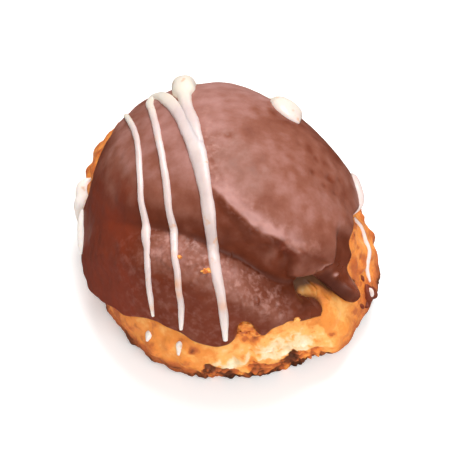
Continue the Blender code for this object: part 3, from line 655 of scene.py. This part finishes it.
def plate_relief(direction):
    """Relief of the glaze alone: the plate, its lip, the crease's sharp bottom and the drip's thick end."""
    east, north = crown_map(direction)
    above = north - curve(CREASE, east)
    spread = np.where(above > 0, CLEFT_NORTH, CLEFT_SOUTH)
    sharpness = np.exp(CLEFT_ROUND - np.hypot(above / spread, CLEFT_ROUND))
    along, across = plate_place(east, north)
    shape = (1 - SLOPE_SHARE) * ease(across, *PLATE_STEP) + SLOPE_SHARE * ease(across, *PLATE_SLOPE)
    plate = curve(PLATE_RISE, along) * (shape - PLATE_FALL_SHARE * ease(across, *PLATE_FALL))
    plate *= 1 - FLANK_DROP * ease(east, *FLANK_EAST) * (1 - ease(north, *FLANK_NORTH))
    on_lip, lip = lip_shape(east, north)
    cleft = CLEFT_SHARE * curve(CREASE_DEPTH, east) * sharpness * (1 - on_lip)
    drip = DRIP_BULB * hump(np.hypot(east - DRIP_EAST, north - DRIP_NORTH), DRIP_SPREAD)
    joined = 0.5 * (plate + lip + np.hypot(plate - lip, LIP_BLEND) - LIP_BLEND)
    return joined - cleft + drip


def dents(east, north, points, table):
    """The depth of uneven small dents, as their table gives them."""
    ragged = 0.4 * rumple(points, 2.4, 68)
    return sum(deep * hump(np.hypot(east - at, north - up) + ragged, width) for at, up, width, deep in table)


def sheen_and_shade(east, north, points):
    """Painted sheen and highlights facing the light, painted shade in hollows, and random tone; 0 to 1."""
    along, across = plate_place(east, north)
    across = across + 0.25 * rumple(points, 2.6, 84)
    below = curve(CREASE, east) - north

    # Painted sheen on the plate, which faces the light, with a painted highlight along its crest
    level = 0.545 - 0.08 * ease(east, 26, 46) - 0.1 * ease(-north, 4, 14) * ease(east, 18, 30)
    level -= 0.15 * ease(north, 18, 46) + 0.25 * ease(east, 39.5, 45.5) * (1 - ease(north, -12, -4))
    level += 0.42 * hump(across - 1.8, 2.6) * span(along, -10, 2, 20, 36)
    crested = hump(across - 2.2, 3.2) * span(along, -12, 0, 22, 38)
    level += 0.13 * crested * rumple(points * np.array((1, 0.5, 0.5)), 2, 88)
    level += marks(east, north, PLATE_SPOTS, PLATE_STREAKS)

    # Off the plate: painted sheen on the upper left and on the lower bulge's top, which face the light
    left = 0.56 * ease(north + 0.22 * (east + 55), -12, 36) * (1 - ease(-east, 52, 72)) * ease(-below, 2, 9)
    left *= 1 - ease(east, -10, -3) * (1 - ease(north, 4, 14))
    bulge = 0.45 * ease(0.4 * rumple(points, 2, 85) + below, 0.5, 1.9) * (1 - ease(below, 12, 22))
    bulge *= span(east, -42, -28, 15, 27) * (1 - 0.22 * ease(east, 2, 8)) * (1 - 0.3 * hump(east + 13, 8))
    bulge += 0.03 * ease(east, 24, 34) * ease(below, 2, 6)
    # Painted highlights on the lip's face and along the nose
    face = lip_shape(east, north)[0] * (0.12 + 0.12 * hump(east - 34, 5) * hump(north + 25.5, 3))
    face += 0.34 * hump(from_nose(east, north, 16.2), 1.5)
    # Painted shade along the crease, then the painted highlights and shade of the pale spots and streaks
    rest = 0.02 + 0.15 * ease(east, -52, -22) + left + bulge + face - 0.12 * hump(below - 0.5, 1.6)
    rest += marks(east, north, PALE_SPOTS, PALE_STREAKS)

    plate = ease(across, -1.3, 0.7) * ease(curve(PLATE_RISE, along), 0.2, 1.2)
    # Painted shade in the dents
    value = plate * level + (1 - plate) * rest - 0.8 * dents(east, north, points, (*DENTS, *DARK_DENTS))
    flank = ease(east, 41, 45) * span(-north, 2, 8, 24, 28)
    value += 0.13 * flank * rumple(points * np.array((1, 1, 0.35)), 3.5, 87)
    value += 0.02 * rumple(points * np.array((1, 0.45, 0.6)), 3.2, 83)
    return value + 0.07 * rumple(points, 9, 81) + 0.05 * rumple(points, 3.4, 82)


def warmth(east, north, points):
    """How reddish the chocolate is, 0 to 1: left and low down, with painted reddish highlights on two crests.
    """
    left = 0.95 * ease(-east, 30, 54) * (1 - ease(north, 6, 44)) * (0.8 + 0.1 * rumple(points, 9, 86))
    low = 0.42 * ease(curve(CREASE, east) - north, 13, 25)
    return np.clip(left + low + marks(east, north, (), WARM_STREAKS), 0, 1)


def painted_glints(east, north):
    """How far painted glints speckle the chocolate's surface, from 0 to 1."""
    below = curve(CREASE, east) - north
    bulge = span(below, 0.2, 2, 9, 19) * span(east, -44, -30, 16, 30)
    low = 0.24 * ease(below, 2, 8) * span(east, -62, -40, 22, 40)
    crest = hump(plate_place(east, north)[1] - 2.5, 4) * span(east, -16, -6, 24, 40)
    return np.clip(np.maximum(bulge, low) + 0.7 * crest + marks(east, north, GLITTER_SPOTS), 0, 1)


def painted_shade(east, north):
    """Painted shade, from 0 to 1: in the crease, the nose's hollows and the lip's shadow on the drip."""
    crease = 0.36 * hump(north - curve(CREASE, east) - 0.3, 1.4) * ease(curve(CREASE_DEPTH, east), 0.8, 2)
    return np.clip(crease + marks(east, north, DARK_SPOTS, DARK_STREAKS), 0, 1)


def glaze_detail(direction):
    """Dents, folds and grain of the glaze."""
    east, north = crown_map(direction)
    points = direction * DOME_X
    along, across = plate_place(east, north)
    below = curve(CREASE, east) - north
    lumpy = 1 + 0.9 * ease(below, 4, 12) + 0.7 * ease(-east, 34, 48)
    grain = 0.07 * rumple(points, 6, 62) + 0.026 * rumple(points, 2.4, 63)
    relief = 0.15 * rumple(points, 15, 61) + lumpy * grain
    for at, up, uneven, rim, rim_width, deep in RIMMED_DENTS:
        dent = np.hypot(east - at, north - up) + uneven * rumple(points, 3, 64)
        relief += 0.05 * hump(dent - rim, rim_width) - deep * hump(dent, 1.6)
    relief += marks(east, north, LUMPS, RIDGES) - dents(east, north, points, DENTS)
    relief += 1.25 * hump(from_nose(east, north, 17), 2.6)
    fold = north - curve(FOLD, east)
    relief += 0.16 * (ease(fold, -1.3, 1.3) - ease(fold, 1.3, 11)) * span(east, 14, 22, 50, 58)
    faced = span(across, -9, -6, -2, 0) * span(along, 4, 14, 44, 52)
    relief += faced * (0.2 * rumple(points, 4.2, 69) + 0.09 * rumple(points, 1.9, 70))
    speckled = span(below, 0.2, 2, 13, 22) * span(east, -44, -30, 22, 40)
    beads = np.maximum(rumple(points, 2.1, 65), 0) ** 1.6
    relief += speckled * (0.16 * beads + 0.06 * rumple(points, 1.15, 66))
    crested = 0.07 * hump(across - 1.5, 3) * span(east, -16, -6, 30, 45)
    drawn_out = points * np.array((1, 0.5, 0.5))
    return relief + crested * (rumple(points, 1.5, 67) + rumple(drawn_out, 2.2, 74))


def glaze_skin(turn, reach):
    """Points of the glaze's outer skin at turns and reaches, where it overhangs the bay by the lip."""
    depth = np.maximum(edge_distance(on_glaze(turn, reach)), 0)
    inside = around(EDGE, turn) - reach
    overhang = LIP_OVERHANG * hump(turn - LIP_TURN, LIP_SPREAD) * hump(inside, OVERHANG_DEPTH)
    direction = on_glaze(turn, reach + overhang)
    rounding = RIM_ROUND * (1 + 0.8 * marks(*crown_map(direction), THICK_SPOTS))
    swell = np.sqrt(1 - (1 - np.clip(depth / rounding, 0, 1)) ** 2)
    relief = plate_relief(direction) * (RIM_RELIEF + (1 - RIM_RELIEF) * swell)
    height = (GAP + GLAZE_THICK) * swell + relief * np.sqrt(swell) + glaze_detail(direction) * swell
    return direction * (bun_radius(direction) + height)[..., None]


def path_length(points):
    """Distances along a path from its start to its points."""
    steps = np.linalg.norm(np.diff(points, axis=0), axis=1)
    return np.concatenate(((0,), np.cumsum(steps)))


def even_starts(columns):
    """Start turns that part the glaze's edge into stretches of much the same length."""
    start = np.linspace(-180, 180, 5761)
    length = path_length(on_bun(on_glaze(*edge(start))))
    progress = LENGTH_SHARE * length / length[-1] + (1 - LENGTH_SHARE) * (start + 180) / 360
    return np.interp(np.arange(columns) / columns, progress, start)


def make_glaze(material):
    """The set chocolate glaze: a skin that swells from a round edge, which sits in the crust."""
    columns = 640
    start = even_starts(columns)
    turn, brink = edge(start)
    share = np.linspace(0.008, 1, 118)[:, None]
    inner = share * (CORE_REACH + (brink - RIM_BAND - CORE_REACH) * share)
    rim = brink - np.array(RIM_STEPS)[:, None]
    reach = np.concatenate((inner, rim))
    swerved = start + (turn - start) * (reach / brink) ** HOOK
    points = glaze_skin(swerved, reach)
    place = reach * np.cos(np.radians(swerved)), reach * np.sin(np.radians(swerved))
    gloss = np.clip(marks(*place, GLOSSY_SPOTS), 0, 1)
    values = sheen_and_shade(*place, points), painted_glints(*place), painted_shade(*place), warmth(*place, points), gloss
    outer = np.concatenate((points, np.stack(values, axis=-1)), axis=-1)
    underside = []
    for step in UNDER_STEPS:
        under = np.maximum(brink - step, 4 + 0.1 * (brink - step))
        direction = on_glaze(start + (turn - start) * (under / brink) ** HOOK, under)
        ring = direction * (bun_radius(direction) - RIM_SINK)[:, None]
        underside.append(np.column_stack((ring, np.zeros((columns, len(values))))))
    skin = closed_skin(np.concatenate((outer, underside)))
    # Values: painted sheen and shade, painted glints, painted shade, reddish tone, and gloss
    labels = "sheen_and_shade", "painted_glints", "crease", "warm", "gloss"
    piece = mesh_piece("chocolate_glaze_skin", skin, labels, material)
    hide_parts("chocolate_glaze")


# ---- Drizzle and drips ----

def glaze_place(east, north):
    """Points of the glaze's skin at places on its flat map."""
    return glaze_skin(np.degrees(np.arctan2(north, east)), np.hypot(east, north))


def crust_place(azimuth, polar):
    """Points of the crust at azimuths and polar angles."""
    return crust(heading(azimuth, polar))[..., :3]


def smooth_rows(rows, spread):
    """Rows blurred along their order over a spread in rows; both ends stay near where they are."""
    reach = min(math.ceil(2.5 * spread), len(rows) - 2)
    kernel = hump(np.arange(-reach, reach + 1), spread)
    before = 2 * rows[0] - rows[1:reach + 1][::-1]
    after = 2 * rows[-1] - rows[-reach - 1:-1][::-1]
    padded = np.vstack((before, rows, after))
    return np.column_stack([np.convolve(column, kernel / kernel.sum(), mode="valid") for column in padded.T])


def strand(place, stations, seed):
    """Rings of a round-backed strand through its stations, on the skin that a place function gives."""
    rows = np.array(stations, dtype=float).T
    length = path_length(place(*rows[:2]))
    at = np.linspace(0, length[-1], max(24, round(length[-1] / STRAND_STEP)) + 1)
    first, second, width, height = (curve(tuple(zip(length, row)), at) for row in rows)
    trace = np.column_stack((at, np.full_like(at, seed), 0 * at))
    width = width * (1 + 0.035 * rumple(trace, 6, seed) + 0.02 * rumple(trace, 2, seed + 1))
    height = height * (0.8 + 0.03 * rumple(trace, 4, seed + 2))
    to_end = np.minimum(at, length[-1] - at)
    rounding = np.sqrt(1 - (1 - np.clip(to_end / np.maximum(0.6 * width, 0.01), 0, 1)) ** 2)
    width, height = width * (0.15 + 0.85 * rounding), height * (0.1 + 0.9 * rounding)
    bumpy = place(first, second)
    out = np.cross(place(first + 0.5, second) - bumpy, place(first, second + 0.5) - bumpy)
    out *= np.sign((out * bumpy).sum(axis=1))[:, None]
    out = smooth_rows(out, STRAND_STIFFNESS[0] / at[1])
    out /= np.linalg.norm(out, axis=1)[:, None]
    middle = smooth_rows(bumpy, STRAND_STIFFNESS[1] / at[1])
    sink = STRAND_SINK + np.linalg.norm(middle - bumpy, axis=1)[:, None]
    aside = np.cross(np.gradient(middle, axis=0), out)
    aside /= np.linalg.norm(aside, axis=1)[:, None]
    middle = middle + aside * (0.03 * rumple(trace, 4, seed + 3))[:, None]
    sides = [middle - aside * 0.5 * width[:, None] - out * sink]
    for across in -np.cos(np.radians(np.linspace(0, 180, 15))):
        up = (1 - abs(across) ** 2.4) ** 0.5
        sides.append(middle + aside * (0.5 * across * width)[:, None] + out * (up * height)[:, None])
    sides.append(middle + aside * 0.5 * width[:, None] - out * sink)
    rings = np.stack(sides, axis=1)
    lumps = 0.018 * rumple(rings, 1.6, seed + 4) + 0.008 * rumple(rings, 0.7, seed + 5)
    return rings + out[:, None, :] * (lumps * rounding[:, None])[..., None]


def make_strands(name, node, material, place, strands, seed):
    """One piece of several strands, each a closed form."""
    points, faces = join(
        closed_skin(strand(place, stations, seed + 10 * index)) for index, stations in enumerate(strands)
    )
    smudge = 0 * points[:, 0]
    for east, north, size, share in SMUDGES:
        spot = glaze_place(np.array([east]), np.array([north]))[0]
        smudge = np.maximum(smudge, share * hump(np.linalg.norm(points - spot, axis=1), size))
    points = np.column_stack((points, smudge, 0 * smudge + STRAND_PALENESS, 0 * smudge + STRAND_WARMTH))
    piece = mesh_piece(name, (points, faces), ("smudge", "sheen_and_shade", "warm"), material)
    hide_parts(node)


# ---- Crumbs and flakes ----

def crumb(place, first, second, size, lift, browning, seed):
    """Points and faces of one ragged crumb of a size (length, width, height) that lies on a skin."""
    body = bmesh.new()
    bmesh.ops.create_icosphere(body, subdivisions=4, radius=1)
    ball = np.array([vertex.co for vertex in body.verts])
    faces = [[vertex.index for vertex in face.verts] for face in body.faces]
    body.free()
    moved = ball + np.array((seed * 1.7, 0, 0))
    rough = 0.82 + 0.26 * np.abs(rumple(moved, 1.6, 71))
    rough += 0.06 * rumple(moved, 0.8, 72) + 0.03 * rumple(moved, 0.36, 73)
    ball *= rough[:, None]

    centre, beside, ahead = place(first + np.array((0, 1.5, 0)), second + np.array((0, 0, 1.5)))
    length_axis = beside - centre
    outward = np.cross(length_axis, ahead - centre)
    outward *= np.sign(outward @ centre) / np.linalg.norm(outward)
    length_axis -= outward * (length_axis @ outward)
    length_axis /= np.linalg.norm(length_axis)
    axes = np.stack((length_axis, np.cross(outward, length_axis), outward))
    points = centre + outward * lift + (ball * np.array(size) * 0.5) @ axes
    browned = browning + 0.1 * rumple(points, 1.4, 75) + 0.03 * rumple(points, 0.6, 76)
    return np.column_stack((points, browned, 0 * browned)), faces


def make_crumbs(material):
    """One piece of all the crumbs on the glaze and the flakes on the crust."""
    lying = [(glaze_place, *row) for row in CRUMBS] + [(crust_place, *row) for row in FLAKES]
    skin = join(crumb(*arguments, seed) for seed, arguments in enumerate(lying))
    piece = mesh_piece("crust_crumbs", skin, CRUST_VALUES, material)


# ---- Materials ----

class Graph:
    """Builds the nodes of one material or world. Sizes and distances are in millimetres."""

    def __init__(self, owner, shader="Principled BSDF"):
        owner.use_nodes = True
        self.tree = owner.node_tree
        self.shader = self.tree.nodes[shader]

    def set(self, **values):
        """Sets or links the shader's own sockets; an underscore in a name stands for a space."""
        for name, value in values.items():
            self.plug(self.shader.inputs[name.replace("_", " ")], value)

    def add(self, kind, inputs=(), **settings):
        """Adds a node; its inputs are values or other nodes' outputs, by name or number."""
        node = self.tree.nodes.new("ShaderNode" + kind)
        for name, value in settings.items():
            setattr(node, name, value)
        for name, value in dict(inputs).items():
            self.plug(node.inputs[name], value)
        return node

    def plug(self, socket, value):
        if isinstance(value, bpy.types.NodeSocket):
            self.tree.links.new(value, socket)
        else:
            socket.default_value = value

    def place(self):
        return self.add("TexCoord").outputs["Object"]

    def noise(self, size, detail=3, roughness=0.55, offset=(0, 0, 0)):
        """Noise from 0 to 1 with bumps of about a size."""
        moved = self.add("Mapping", {"Vector": self.place(), "Location": offset}).outputs[0]
        inputs = {"Vector": moved, "Scale": 0.5 / (size * MM), "Detail": detail, "Roughness": roughness}
        return self.add("TexNoise", inputs).outputs["Fac"]

    def mottle(self, low, high, *texture, **offset):
        """Noise between about a low and a high value."""
        return self.range(self.noise(*texture, **offset), 0.3, 0.7, low, high)

    def cells(self, size):
        """Distance from the middles of cells of about a size."""
        inputs = {"Vector": self.place(), "Scale": 1 / (size * MM)}
        return self.add("TexVoronoi", inputs).outputs["Distance"]

    def value(self, name):
        """The value of a mesh's points that a label names."""
        return self.add("Attribute", attribute_name=name).outputs["Fac"]

    def math(self, operation, *terms, clamp=False):
        return self.add("Math", dict(enumerate(terms)), operation=operation, use_clamp=clamp).outputs[0]

    def times(self, first, second, clamp=False):
        return self.math("MULTIPLY", first, second, clamp=clamp)

    def total(self, first, *terms):
        """The sum of terms, held between 0 and 1."""
        for term in terms[:-1]:
            first = self.math("ADD", first, term)
        return self.math("ADD", first, terms[-1], clamp=True)

    def range(self, value, low, high, to_low=0, to_high=1):
        inputs = {"Value": value, "From Min": low, "From Max": high, "To Min": to_low, "To Max": to_high}
        return self.add("MapRange", inputs).outputs[0]

    def ramp(self, value, interpolation, stops):
        """Colours between (place, colour) stops."""
        node = self.add("ValToRGB", {"Fac": value})
        node.color_ramp.interpolation = interpolation
        elements = node.color_ramp.elements
        while len(elements) < len(stops):
            elements.new(0.5)
        for element, (at, colour) in zip(elements, stops):
            element.position = at
            element.color = colour
        return node.outputs["Color"]

    def mix(self, share, first, second):
        """One colour laid over another by a share."""
        return self.add("Mix", {0: share, 6: first, 7: second}, data_type="RGBA").outputs[2]

    def bump(self, height, distance, strength, under=None):
        inputs = {"Height": height, "Distance": distance * MM, "Strength": strength}
        if under is not None:
            inputs["Normal"] = under
        return self.add("Bump", inputs).outputs["Normal"]


def screen(red, green, blue):
    """A colour given as it looks on a screen, in 0 to 255, as linear light."""
    share = np.array((red, green, blue), dtype=float) / 255
    return (*np.where(share <= 0.04045, share / 12.92, ((share + 0.055) / 1.055) ** 2.4).tolist(), 1)


def choux_material():
    """Baked choux: cream where it is torn, golden on the whole, and dark brown at its edge."""
    material = bpy.data.materials.new("baked_choux")
    graph = Graph(material)
    mottle = graph.mottle(-0.05, 0.05, 1.6, 4)
    specks = graph.mottle(-0.035, 0.035, 0.35, 2, offset=(0.3, 0, 0))
    colour = graph.ramp(graph.total(graph.value("browned"), mottle, specks), "EASE", (
        (0, screen(252, 236, 206)), (0.14, screen(248, 214, 166)), (0.3, screen(252, 182, 98)),
        (0.44, screen(240, 146, 60)), (0.6, screen(198, 102, 44)), (0.8, screen(118, 58, 25)),
        (1, screen(52, 26, 11)),
    ))
    # Painted shadow: dark olive brown where the shade value is 1
    colour = graph.mix(graph.value("shade"), colour, screen(90, 50, 18))
    skin = graph.bump(graph.noise(0.5, 4, 0.6), 0.08, 0.7)
    skin = graph.bump(graph.range(graph.cells(0.55), 0, 0.35), 0.03, 0.4, skin)
    roughness = graph.mottle(0.42, 0.62, 1.2, 2, offset=(0, 0.4, 0))
    graph.set(Base_Color=colour, Roughness=roughness, Normal=skin, Specular_IOR_Level=0.35,
              Subsurface_Weight=0.22, Subsurface_Radius=(1, 0.5, 0.22), Subsurface_Scale=1.4 * MM)
    return material


# How much rougher the chocolate is where these values are 1
ROUGHER = ("crease", 0.6), ("warm", 0.22), ("gloss", -0.22)


def chocolate_material():
    """Set milk chocolate with painted sheen, painted shade and painted glints, and redder at the left and
    low.
    """
    material = bpy.data.materials.new("milk_chocolate")
    graph = Graph(material)
    pale = graph.total(graph.value("sheen_and_shade"), graph.mottle(-0.09, 0.09, 1.3, 4, 0.65, offset=(0.5, 0, 0)))
    # Paler where painted sheen and highlights are, darker where painted shade is
    colour = graph.ramp(pale, "LINEAR", (
        (0, (0.125, 0.023, 0.007, 1)), (0.2, (0.165, 0.035, 0.014, 1)), (0.5, (0.25, 0.08, 0.048, 1)),
        (1, (0.46, 0.225, 0.195, 1)),
    ))
    # Redder at the left and low down, and as painted reddish highlights on two crests
    reddish = graph.times(graph.value("warm"), graph.range(pale, 0.1, 0.5, 1, 0))
    colour = graph.mix(reddish, colour, (0.225, 0.027, 0.005, 1))
    # Painted shade: in the crease, in the nose's hollows and on the drip under the lip
    colour = graph.mix(graph.times(graph.value("crease"), 0.85), colour, (0.07, 0.011, 0.003, 1))
    # Painted glints: pale pinkish flecks where the glaze's glint value is high
    fleck = graph.range(graph.noise(0.8, 2.5, 0.6, offset=(0, 0, 0.7)), 0.49, 0.68)
    fleck = graph.math("ADD", fleck, graph.times(graph.range(graph.cells(1.3), 0.42, 0.05), 0.45))
    fleck = graph.times(fleck, graph.times(graph.value("painted_glints"), 0.62), clamp=True)
    colour = graph.mix(fleck, colour, (0.5, 0.245, 0.2, 1))
    skin = graph.bump(graph.noise(2.4), 0.16, 0.6)
    skin = graph.bump(graph.noise(1.1, 3, 0.6, offset=(0.2, 0, 0)), 0.07, 0.6, skin)
    skin = graph.bump(graph.noise(0.42, 4, 0.6), 0.03, 0.7, skin)
    roughness = graph.total(
        graph.range(graph.value("sheen_and_shade"), 0.2, 0.7, 0.36, 0.56),
        graph.mottle(-0.05, 0.05, 1.5, 4, offset=(0, 0.7, 0)),
        *(graph.times(graph.value(name), share) for name, share in ROUGHER),
    )
    graph.set(Base_Color=colour, Roughness=roughness, Normal=skin, Specular_IOR_Level=0.27,
              Coat_Weight=0.03, Coat_Roughness=0.2, Coat_IOR=1.45,
              Subsurface_Weight=0.05, Subsurface_Radius=(1, 0.4, 0.25), Subsurface_Scale=0.6 * MM)
    return material


def drizzle_material():
    """White chocolate: cool white, creamier at the back, with painted light low at the left, and caramel
    stains.
    """
    material = bpy.data.materials.new("white_chocolate")
    graph = Graph(material)
    cloud = graph.range(graph.noise(3), 0.35, 0.65)
    colour = graph.mix(cloud, screen(213, 192, 187), screen(225, 206, 201))
    place = graph.add("SeparateXYZ", {"Vector": graph.place()}).outputs
    colour = graph.mix(graph.range(place["Y"], 10 * MM, 18 * MM), colour, screen(236, 224, 208))
    # Painted light: low down, most at the left, the drizzle is whiter where less light falls on it
    low = graph.range(place["Z"], 26 * MM, 16 * MM)
    painted_light_low = graph.times(low, graph.range(place["X"], 24 * MM, 14 * MM, 0.45, 1))
    colour = graph.mix(painted_light_low, colour, screen(250, 238, 230))
    fleck = graph.range(graph.noise(1.3, 2, offset=(0.9, 0.2, 0)), 0.66, 0.74)
    colour = graph.mix(graph.times(fleck, 0.55), colour, screen(226, 164, 108))
    colour = graph.mix(graph.value("smudge"), colour, screen(232, 160, 104))
    roughness = graph.mottle(0.32, 0.46, 1, 2, offset=(0, 0.2, 0))
    skin = graph.bump(graph.noise(0.8), 0.05, 0.6)
    graph.set(Base_Color=colour, Roughness=roughness, Normal=skin, Specular_IOR_Level=0.5,
              Coat_Weight=0.15, Coat_Roughness=0.25,
              Subsurface_Weight=0.3, Subsurface_Radius=(1, 0.75, 0.5), Subsurface_Scale=0.9 * MM)
    return material


# ---- Stage, in metres ----

VIEW_DOWN = math.radians(52)  # how far the camera looks down
VIEW_DISTANCE = 1.25
VIEW_SHIFT = Vector((-0.7, 1.4, 1.8)) * MM  # from the heart to what the camera looks at
LENS, SENSOR, CLIP_START = 450, 36, 0.05
FLOOR_SIDE = 3
SKY_STRENGTH = 0.42
SKY_LOW, SKY_HEIGHT = 0.12, 0.7  # the sky's share of light at the horizon, and where it reaches all of it
# Soft lights, as (name, azimuth, polar, distance, size, power)
LIGHTS = ("key", 80, 30, 0.9, 0.6, 7.8), ("front", -70, 44, 1, 0.8, 6.4)


def aim(name, data, place, target):
    """A camera or light at a place, turned to a target."""
    piece = add_object(name, data)
    piece.location = place
    piece.rotation_euler = (Vector(target) - Vector(place)).to_track_quat("-Z", "Y").to_euler()
    return piece


def make_floor():
    """A large pale floor, which no surface mirrors."""
    data = bpy.data.meshes.new("floor")
    corners = [(x * FLOOR_SIDE, y * FLOOR_SIDE, 0) for x, y in ((-1, -1), (1, -1), (1, 1), (-1, 1))]
    data.from_pydata(corners, [], [(0, 1, 2, 3)])
    floor = add_object("floor", data)
    material = bpy.data.materials.new("pale_floor")
    Graph(material).set(Base_Color=(0.9, 0.9, 0.9, 1), Roughness=0.9, Specular_IOR_Level=0.1,
                        Emission_Color=(1, 0.96, 0.92, 1), Emission_Strength=0.3)
    data.materials.append(material)
    floor.visible_glossy = False


def make_stage():
    """Floor, camera and lights."""
    make_floor()
    lens = bpy.data.cameras.new("camera")
    lens.lens = LENS
    lens.sensor_width = SENSOR
    lens.clip_start = CLIP_START
    target = Vector((HEART * MM).tolist()) + VIEW_SHIFT
    place = target - VIEW_DISTANCE * Vector((0, math.cos(VIEW_DOWN), -math.sin(VIEW_DOWN)))
    bpy.context.scene.camera = aim("camera", lens, place, target)

    world = bpy.data.worlds.new("studio")
    sky = Graph(world, "Background")
    height = sky.add("SeparateXYZ", {"Vector": sky.add("TexCoord").outputs["Generated"]}).outputs["Z"]
    sky.set(Color=sky.range(height, 0, SKY_HEIGHT, SKY_LOW), Strength=SKY_STRENGTH)
    bpy.context.scene.world = world
    for name, azimuth, polar, distance, size, power in LIGHTS:
        lamp = bpy.data.lights.new(name, "AREA")
        lamp.shape = "DISK"
        lamp.size = size
        lamp.energy = power
        aim(name, lamp, Vector(target) + distance * Vector(heading(azimuth, polar)), target)
    bpy.context.scene.view_settings.view_transform = "Standard"


def main():
    choux = choux_material()
    chocolate = chocolate_material()
    white = drizzle_material()
    make_crust(choux)
    make_glaze(chocolate)
    on_glaze_skin = (LEFT_LINE, MIDDLE_LOOP, BACK_LOOP, RIGHT_COMMA, LEFT_DASH)
    make_strands("drizzle_on_glaze", "chocolate_glaze", white, glaze_place, on_glaze_skin, 200)
    on_skirt = (RIGHT_STREAK, LEFT_BLOB, LEFT_DROP, RIGHT_DROP, PAINTED_DRIP_GLINT)
    make_strands("drizzle_on_crust", "choux_bun", white, crust_place, on_skirt, 300)
    make_strands("low_drip", "choux_bun", chocolate, crust_place, (LOW_DRIP, *BEADS), 400)
    make_crumbs(choux)
    make_stage()


main()
